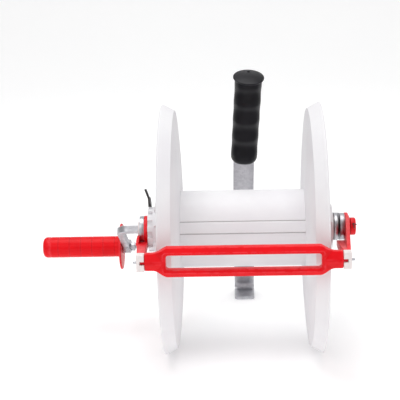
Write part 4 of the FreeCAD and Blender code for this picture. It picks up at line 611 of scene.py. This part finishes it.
def blockShell(outline, inAt, outAt, roundIn, roundOut):
    # an outline in the side view carried along the axle; its outer edges are pulled in at rounded ends
    centre = np.array([-guide["reach"], guide["rise"]])
    away = outline - centre
    outer = np.abs(away) > 4.9
    rows = []
    for at, inset in ((inAt, roundIn), (inAt + roundIn, 0), (outAt - roundOut, 0), (outAt, roundOut)):
        spot = centre + away - np.where(outer, np.sign(away) * inset, 0)
        rows.append(np.stack([np.full(len(spot), at), spot[:, 0], spot[:, 1]], 1))
    return gridShell(np.array(rows), wrapAcross=True, caps=True)


def makeGuideBlock(name, node, side):
    # inner half with a bore open to the front through a narrower throat, outer half closed
    bore, throat = guide["trunnion"] + guide["slack"], guide["throat"]
    middle, centre = guide["rise"], -guide["reach"]
    front, back = centre - guide["depth"] / 2, centre + guide["depth"] / 2
    bottom, top = middle - guide["endHeight"] / 2, middle + guide["endHeight"] / 2
    bend, soft = math.pi - math.asin(throat / bore), guide["blockRound"]
    arc = np.linspace(bend, -bend, 27)
    circle = np.stack([centre + bore * np.cos(arc), middle + bore * np.sin(arc)], 1)
    around = roundedLine([circle[-1], (front, middle - throat), (front, bottom), (back, bottom), (back, top),
                          (front, top), (front, middle + throat), circle[0]],
                         [0, 0.5, soft, soft, soft, soft, 0.5, 0])
    closed = roundedLoop([(front, bottom), (back, bottom), (back, top), (front, top)], [soft] * 4)
    edge = guide["edgeRound"]
    forked = np.concatenate([around, circle[1:-1]])
    shells = [blockShell(forked, guide["blockIn"], guide["blockMid"] + 0.1, edge, 0.01),
              blockShell(closed, guide["blockMid"], guide["blockOut"], 0.01, edge)]
    makePiece(name, node, [moved(shell, np.diag([side, 1, 1])) for shell in shells], sharp=30)


def makePivotPins():
    end, radius = guide["pinOut"], guide["pinRadius"]
    start, place = guide["pinIn"], (0, -guide["reach"], guide["rise"])
    pin = turnedShell([(start, 0.4), (start, radius), (end - 0.7, radius), (end - 0.2, 1.05), (end, 0.4)], 24)
    pins = [moved(pin, np.diag([side, 1, 1]), place) for side in (-1, 1)]
    makePiece("pivotPins", "guide_pivot_pins", pins)


makeGuideBar()
makeGuideBlock("guideBlockLeft", "guide_block_left", -1)
makeGuideBlock("guideBlockRight", "guide_block_right", 1)
makePivotPins()
print("wire guide made")


# Handle grip and cap

handle = {"bowDrop": 13.7, "bowReach": 177.0, "bowThick": 5.0, "strapThick": 4.0, "shift": 2.2, "seatHalf": 19.0,
          "lean": 21.305, "strapSideways": 1.0, "gripSideways": 3.45, "start": 75.0, "length": 116.0, "width": 32.6,
          "depth": 27.0, "fingerFirst": 12.9, "fingerPitch": 24.3, "fingerCount": 4, "groove": 3.5,
          "bottomRound": 9.0, "capRadius": 18.5, "capRim": 2.4, "capHeight": 4.5, "holeRadius": 1.9,
          "holeBack": 9.5, "holeDepth": 2.6}


def handleFrame():
    # the grip's foot and its directions across, backward and along, from the bow's drop and the two leans
    drop, lean = math.radians(handle["bowDrop"]), math.radians(handle["lean"])
    along = np.array([0, math.cos(drop), -math.sin(drop)])
    upward = np.array([0, math.sin(drop), math.cos(drop)])
    rise = np.array([0, -math.sin(lean), math.cos(lean)])
    seat = along * (handle["bowReach"] + handle["strapThick"] / 2) + upward * handle["seatHalf"]
    sideways = handle["start"] * math.tan(math.radians(handle["strapSideways"]))
    foot = seat + rise * handle["start"] + np.array([handle["shift"] + sideways, 0, 0])
    return foot, frameFrom(rise + [math.tan(math.radians(handle["gripSideways"])), 0, 0], (1, 0, 0))


def makeHandleGrip():
    # an oval of changing size along the axis; each finger's hollow cuts the front back by a raised cosine
    foot, turn = handleFrame()
    s = np.concatenate([[0, 0.15, 0.6, 1.4, 2.6, 4.2, 6.2],
                        np.linspace(handle["bottomRound"], handle["length"], 110)])
    phase = (s - handle["fingerFirst"]) / handle["fingerPitch"]
    inside = (phase > 0) & (phase < handle["fingerCount"])
    wave = np.clip((1 - np.cos(2 * math.pi * phase)) / 2, 0, 1) ** 0.8
    cut = np.where(inside, handle["groove"] * wave, 0)[:, None]
    ease = 0.52 + 0.48 * np.sqrt(1 - (1 - np.clip(s / handle["bottomRound"], 0, 1)) ** 2)[:, None]
    angle = np.linspace(0, 2 * math.pi, 72, endpoint=False)
    c, d = np.cos(angle), np.sin(angle)
    across = (handle["width"] / 2 - cut * 0.12) * ease * np.sign(c) * np.abs(c) ** 0.86
    deep = handle["depth"] / 2 * ease * np.sign(d) * np.abs(d) ** 0.86 + cut * ease * np.clip(-d, 0, 1) ** 0.7
    rows = foot + across[..., None] * turn[:, 0] + deep[..., None] * turn[:, 1]
    rows = rows + s[:, None, None] * turn[:, 2]
    makePiece("handleGrip", "handle_grip", [gridShell(rows, wrapAcross=True, caps=True)], sharp=50)


def makeGripCap():
    # turned rim; on top the surface runs from the rim's circle to the small hole's, crowned by distance
    foot, turn = handleFrame()
    angle = np.linspace(0, 2 * math.pi, 72, endpoint=False)
    circle = np.stack([np.cos(angle), np.sin(angle)], 1)
    radius, rim, tall = handle["capRadius"], handle["capRim"], handle["capHeight"]
    offset = np.array([0, handle["holeBack"]])
    rings = [(radius * 0.6, -0.8), (radius * 0.8, 0), (radius - 1.2, 0.15), (radius - 0.35, 0.55), (radius, 1.2),
             (radius, rim - 0.7), (radius - 0.3, rim - 0.2), (radius - 0.9, rim)]
    rows = [np.column_stack([circle * ring, np.full(72, z)]) for ring, z in rings]
    for share in np.linspace(0.06, 1, 18):
        spot = circle * (radius - 0.9) * (1 - share) + (circle * handle["holeRadius"] + offset) * share
        distance = np.hypot(spot[:, 0], spot[:, 1]) / (radius - 0.9)
        rows.append(np.column_stack([spot, rim + (tall - rim) * (1 - distance ** 2)]))
    level = rows[-1][:, 2]
    for shrink, drop in ((0.97, 0.25), (0.9, 0.8), (0.88, handle["holeDepth"])):
        rows.append(np.column_stack([circle * handle["holeRadius"] * shrink + offset, level - drop]))
    rows = np.array(rows)
    marks = np.zeros(rows.shape[:2])
    # the hole's inside gets painted shade
    marks[-3:] = 0.9
    rows = rows @ turn.T + foot + turn[:, 2] * handle["length"]
    shell = gridShell(rows, wrapAcross=True, caps=True, grime=marks)
    makePiece("gripCap", "grip_cap", [shell], sharp=45)


makeHandleGrip()
makeGripCap()
print("handle made")


# Crank grip, its end, spindle and nut

crank = {"throw": 80.0, "angle": 29.0, "gripRadius": 12.3, "guardRadius": 27.2, "guardThick": 2.6,
         "guardRound": 1.2, "guardFillet": 2.2, "bore": 4.47, "markPitch": 13.4, "markDepth": 0.22,
         "markWidth": 0.5, "pocket": 8.6, "plug": 8.3, "pocketDepth": 11.2, "endRound": 5.0, "thread": 3.0,
         "flats": 10.0, "washerRadius": 8.0, "washerBore": 3.2, "washerRound": 0.35}


def onSpindle(shell):  # from the spindle's own axis to its place
    back = math.radians(crank["angle"])
    return moved(shell, shift=(0, crank["throw"] * math.cos(back), -crank["throw"] * math.sin(back)))


def makeCrankGrip():
    # profile along the spindle: guard disc with a rounded rim, fillet, long grip with shallow ring marks
    low, high = boxOf("crank_grip")
    inner, outer, radius = high[0], low[0], crank["gripRadius"]
    guardOut = inner - crank["guardThick"]
    rim = crank["guardRound"]
    disc = roundedLine([(inner, crank["bore"]), (inner, crank["guardRadius"]), (guardOut, crank["guardRadius"]),
                        (guardOut, radius), (guardOut - 6, radius)], [0, rim, rim, crank["guardFillet"], 0])
    x = np.arange(guardOut - 6.5, outer + 0.8, -0.35)
    fromMark = (guardOut - x) % crank["markPitch"] - crank["markPitch"] / 2
    marks = np.exp(-(fromMark / crank["markWidth"]) ** 2)
    body = np.stack([x, radius - crank["markDepth"] * marks], 1)
    floor = outer + crank["pocketDepth"]
    end = [(outer, radius - 0.3), (outer, crank["pocket"]), (floor, crank["pocket"]),
           (floor, crank["bore"])]
    # the ring marks get a little painted shade along their hollows
    grime = np.concatenate([np.zeros(len(disc)), marks * 0.3, np.zeros(len(end))])
    shell = turnedShell(np.concatenate([disc, body, end]), 96, closed=True, grime=grime)
    makePiece("crankGrip", "crank_grip", [onSpindle(shell)], sharp=35)


def makeGripEnd():
    # rounded end with a small flat and the faint ring of the mould's pin
    low, high = boxOf("grip_end_cap")
    tip, seat, shoulder = low[0], high[0], boxOf("crank_grip")[0][0]
    radius, bend = crank["gripRadius"], crank["endRound"]
    arc = np.linspace(0, math.pi / 2, 10)
    nose = np.stack([tip + bend - bend * np.sin(arc), radius - bend + bend * np.cos(arc)], 1)[:-1]
    face = [(tip, 7.0), (tip, 6.2), (tip + 0.3, 5.7), (tip + 0.3, 5.2), (tip, 4.8), (tip, 0.6)]
    plug = [(seat, 0.6), (seat, crank["plug"]), (shoulder, crank["plug"]), (shoulder, radius - 0.35),
            (shoulder - 0.35, radius)]
    shell = turnedShell(np.concatenate([plug, nose, face]), 80)
    makePiece("gripEnd", "grip_end_cap", [onSpindle(shell)], sharp=35)


def makeNut():
    # the radius is the less of the hexagon's and of a cone's at each end, which chamfers the six corners
    low, high = boxOf("spindle_nut")
    tall, flats, thread = high[0] - low[0], crank["flats"], crank["thread"]
    angle = np.linspace(0, 2 * math.pi, 96, endpoint=False)
    hexagon = flats / 2 / np.cos((angle + math.pi / 6) % (math.pi / 3) - math.pi / 6)
    x = np.concatenate([[0, 0.15, 0.35, 0.6, 0.9], np.linspace(1.3, tall - 1.3, 4)])
    x = np.concatenate([x, tall - x[4::-1]])
    radius = np.minimum(hexagon[None, :], flats / 2 * 0.97 + np.minimum(x, tall - x)[:, None] * 1.6)
    bores = [(tall, thread + 0.5), (tall - 0.4, thread + 0.03), (0.4, thread + 0.03), (0, thread + 0.5)]
    x = np.concatenate([x, [at for at, _ in bores]])
    radius = np.concatenate([radius] + [np.full((1, 96), bore) for _, bore in bores])
    rows = np.stack([np.repeat(low[0] + x[:, None], 96, 1), radius * np.cos(angle), radius * np.sin(angle)], -1)
    shell = gridShell(rows, wrapAcross=True, wrapAlong=True)
    makePiece("spindleNut", "spindle_nut", [onSpindle(shell)], sharp=28)


def makeWasher():
    # a ring of oblong section with rounded corners
    low, high = boxOf("spindle_washer")
    radius, bore = crank["washerRadius"], crank["washerBore"]
    loop = roundedLoop([(low[0], radius), (high[0], radius), (high[0], bore), (low[0], bore)],
                       [crank["washerRound"]] * 4)
    makePiece("spindleWasher", "spindle_washer", [onSpindle(turnedShell(loop, 64, closed=True))])


makeCrankGrip()
makeGripEnd()
makeNut()
makeWasher()
print("crank made")


# Collar, split pin and rivets

small = {"collarRadius": 9.8, "collarRound": 2.6, "collarBack": 0.4, "collarFace": 5.4, "collarDish": 5.0,
         "collarSunk": 0.35, "pinRadius": 1.0, "pinIn": 2.3, "pinOut": 1.2, "eyeRadius": 2.0, "rivetHead": 5.4,
         "rivetTall": 2.1, "rivetShank": 3.0, "rivetApart": 9.0}


def makeCollar():
    # turned profile with a rounded outer edge and a shallow dish in its face
    low, high = boxOf("axle_collar")
    radius, sunk = small["collarRadius"], high[0] - small["collarSunk"]
    profile = roundedLine([(low[0], 1), (low[0], radius), (high[0], radius), (high[0], small["collarFace"])],
                          [0, small["collarBack"], small["collarRound"], 0], 9)
    profile = np.concatenate([profile, [(sunk, small["collarDish"]), (sunk, 1)]])
    makePiece("axleCollar", "axle_collar", [turnedShell(profile, 80)], sharp=40)


def makeSplitPin():
    # a wire bent to an eye and two legs, which lie side by side in the hole and spread beyond it
    x = boxOf("axle_collar")[0][0] + small["pinIn"]
    reach, thin, bend = small["collarRadius"] + small["pinOut"], small["pinRadius"] * 0.5, small["eyeRadius"]
    turn = np.linspace(-0.42 * math.pi, 1.42 * math.pi, 26)
    eye = np.stack([x + bend * np.cos(turn), reach + bend + bend * np.sin(turn), np.zeros(26)], 1)
    legs = [[(x + thin, reach, 0), (x + thin, -reach, 0), (x + 1.2, -reach - 0.9, -0.4),
             (x + 3.6, -reach - 1.4, -1.4)],
            [(x - thin, reach, 0), (x - thin, -reach, 0), (x, -reach - 1.6, -1.8),
             (x + 1.0, -reach - 2.0, -5.6)]]
    shells = [tubeShell(smoothPath(leg), thin * 1.15) for leg in legs] + [tubeShell(eye, thin * 1.15)]
    makePiece("splitPin", "split_pin", [moved(shell, turnX(-crank["angle"])) for shell in shells])


def makeRivets():
    # domed heads whose radius falls as a circle's does, on both sides of the strap and the bow
    drop = math.radians(handle["bowDrop"])
    along = np.array([0, math.cos(drop), -math.sin(drop)])
    upward = np.array([0, math.sin(drop), math.cos(drop)])
    middle = along * (handle["bowReach"] + handle["strapThick"] / 2) + np.array([handle["shift"], 0, 0])
    arc = np.linspace(0.06, math.pi / 2, 9)
    head = np.stack([small["rivetTall"] * np.cos(arc), small["rivetHead"] * np.sin(arc)], 1)
    back, front = handle["strapThick"] / 2, handle["strapThick"] / 2 + handle["bowThick"]
    shank = [(back - 0.05, small["rivetShank"]), (0.05 - front, small["rivetShank"])]
    profile = np.concatenate([head + [back, 0], shank, (head * [-1, 1] - [front, 0])[::-1]])
    turn = frameFrom(along, (1, 0, 0))
    order = np.stack([turn[:, 2], turn[:, 0], turn[:, 1]], 1)
    rivet, apart = turnedShell(profile, 40), small["rivetApart"]
    rivets = [moved(rivet, order, middle + upward * side * apart) for side in (-1, 1)]
    makePiece("strapRivets", "strap_rivets", rivets)


makeCollar()
makeSplitPin()
makeRivets()
print("small parts made")


# Nodes whose shape is right, with their sharp edges rounded; widths in millimetres

edgeWidths = {"frame_bow": 0.7, "handle_strap": 0.5, "crank_axle": 0.35, "guide_arm_left": 0.5,
              "guide_arm_right": 0.5, "lock_ring": 0.4, "lock_lever": 0.3, "lever_pin": 0.25, "washer_right": 0.4}
for node, width in edgeWidths.items():
    words = node.split("_")
    finishedCopy(words[0] + "".join(word.capitalize() for word in words[1:]), node, width)
print("edges rounded:", len(edgeWidths))


# Studio

studio = {"floorHalf": 6.0, "wallAt": 3.2, "wallBend": 1.4, "wallTop": 4.0,
          "floorShade": (0.90, 0.90, 0.905, 1), "floorPale": (0.92, 0.92, 0.92, 1), "floorGlow": 0.22, "air": 0.42}


def makeStudio():
    # floor that bends up into a wall: a line, a quarter circle and a line carried sideways
    turn = np.linspace(0, math.pi / 2, 25)
    across = studio["wallAt"] - studio["wallBend"] + studio["wallBend"] * np.sin(turn)
    rise = studio["wallBend"] * (1 - np.cos(turn))
    line = np.concatenate([[[-studio["floorHalf"], 0]], np.stack([across, rise], 1),
                           [[studio["wallAt"], studio["wallTop"]]]])
    sides = np.array([-studio["floorHalf"], studio["floorHalf"]])
    points = np.concatenate([np.stack([np.full(len(line), x), line[:, 0], line[:, 1]], 1) for x in sides])
    count = len(line)
    low = np.arange(count - 1)
    faces = np.stack([low, low + count, low + count + 1, low + 1], 1)
    mesh = bpy.data.meshes.new("studioFloor")
    mesh.from_pydata(points.tolist(), [], faces.tolist())
    mesh.polygons.foreach_set("use_smooth", np.ones(len(faces), bool))
    floor = bpy.data.objects.new("studioFloor", mesh)
    bpy.context.scene.collection.objects.link(floor)
    material, add, link, shader, place = startMaterial("studioPaper")
    noise = add("ShaderNodeTexNoise", {"Vector": place, "Scale": 3.0, "Detail": 3.0})
    colour = mixColour(add, noise.outputs["Fac"], studio["floorShade"], studio["floorPale"])
    link(colour, shader, "Base Color")
    shader.inputs["Roughness"].default_value = 0.85
    shader.inputs["Emission Color"].default_value = (1, 1, 1, 1)
    shader.inputs["Emission Strength"].default_value = studio["floorGlow"]
    mesh.materials.append(material)


lights = [
    {"name": "topLight", "place": (-0.2, -0.2, 2.6), "aim": (0, -0.1, 0.1), "size": 2.4, "power": 44},
    {"name": "frontLight", "place": (-1.2, -2.6, 1.7), "aim": (0, -0.1, 0.1), "size": 1.5, "power": 13},
    {"name": "rightLight", "place": (2.2, -1.4, 1.4), "aim": (0, -0.1, 0.1), "size": 1.4, "power": 10},
]


def lookRotation(place, aim):
    return (Vector(aim) - Vector(place)).to_track_quat("-Z", "Y").to_matrix().to_4x4()


def makeLights():
    for spec in lights:
        data = bpy.data.lights.new(spec["name"], "AREA")
        data.shape = "DISK"
        data.size = spec["size"]
        data.energy = spec["power"]
        item = bpy.data.objects.new(spec["name"], data)
        item.matrix_world = Matrix.Translation(spec["place"]) @ lookRotation(spec["place"], spec["aim"])
        bpy.context.scene.collection.objects.link(item)
    world = bpy.data.worlds.new("studioAir")
    world.use_nodes = True
    background = world.node_tree.nodes["Background"]
    background.inputs["Color"].default_value = (1, 1, 1, 1)
    background.inputs["Strength"].default_value = studio["air"]
    bpy.context.scene.world = world
    bpy.context.scene.view_settings.view_transform = "Standard"


view = {"fromAxle": (-0.0056, -1.2466, 0.3285), "yaw": -1.895, "pitch": -13.33, "roll": -1.399, "focal": 1148.0,
        "frame": 400.0}


def makeCamera():
    # camera from its place, its three turns and its focal length in pixels of the 400 pixel frame
    yaw, pitch, roll = (math.radians(view[key]) for key in ("yaw", "pitch", "roll"))
    ahead = Vector((math.sin(yaw) * math.cos(pitch), math.cos(yaw) * math.cos(pitch), math.sin(pitch)))
    side = Vector((math.cos(yaw), -math.sin(yaw), 0))
    above = side.cross(ahead)
    right = side * math.cos(roll) + above * math.sin(roll)
    up = above * math.cos(roll) - side * math.sin(roll)
    data = bpy.data.cameras.new("camera")
    data.sensor_width = 36.0
    data.lens = view["focal"] / view["frame"] * data.sensor_width
    item = bpy.data.objects.new("camera", data)
    turn = Matrix((right, up, -ahead)).transposed().to_4x4()
    item.matrix_world = Matrix.Translation(Vector(axle) + Vector(view["fromAxle"])) @ turn
    bpy.context.scene.collection.objects.link(item)
    bpy.context.scene.camera = item


makeStudio()
makeLights()
makeCamera()
print("studio ready")
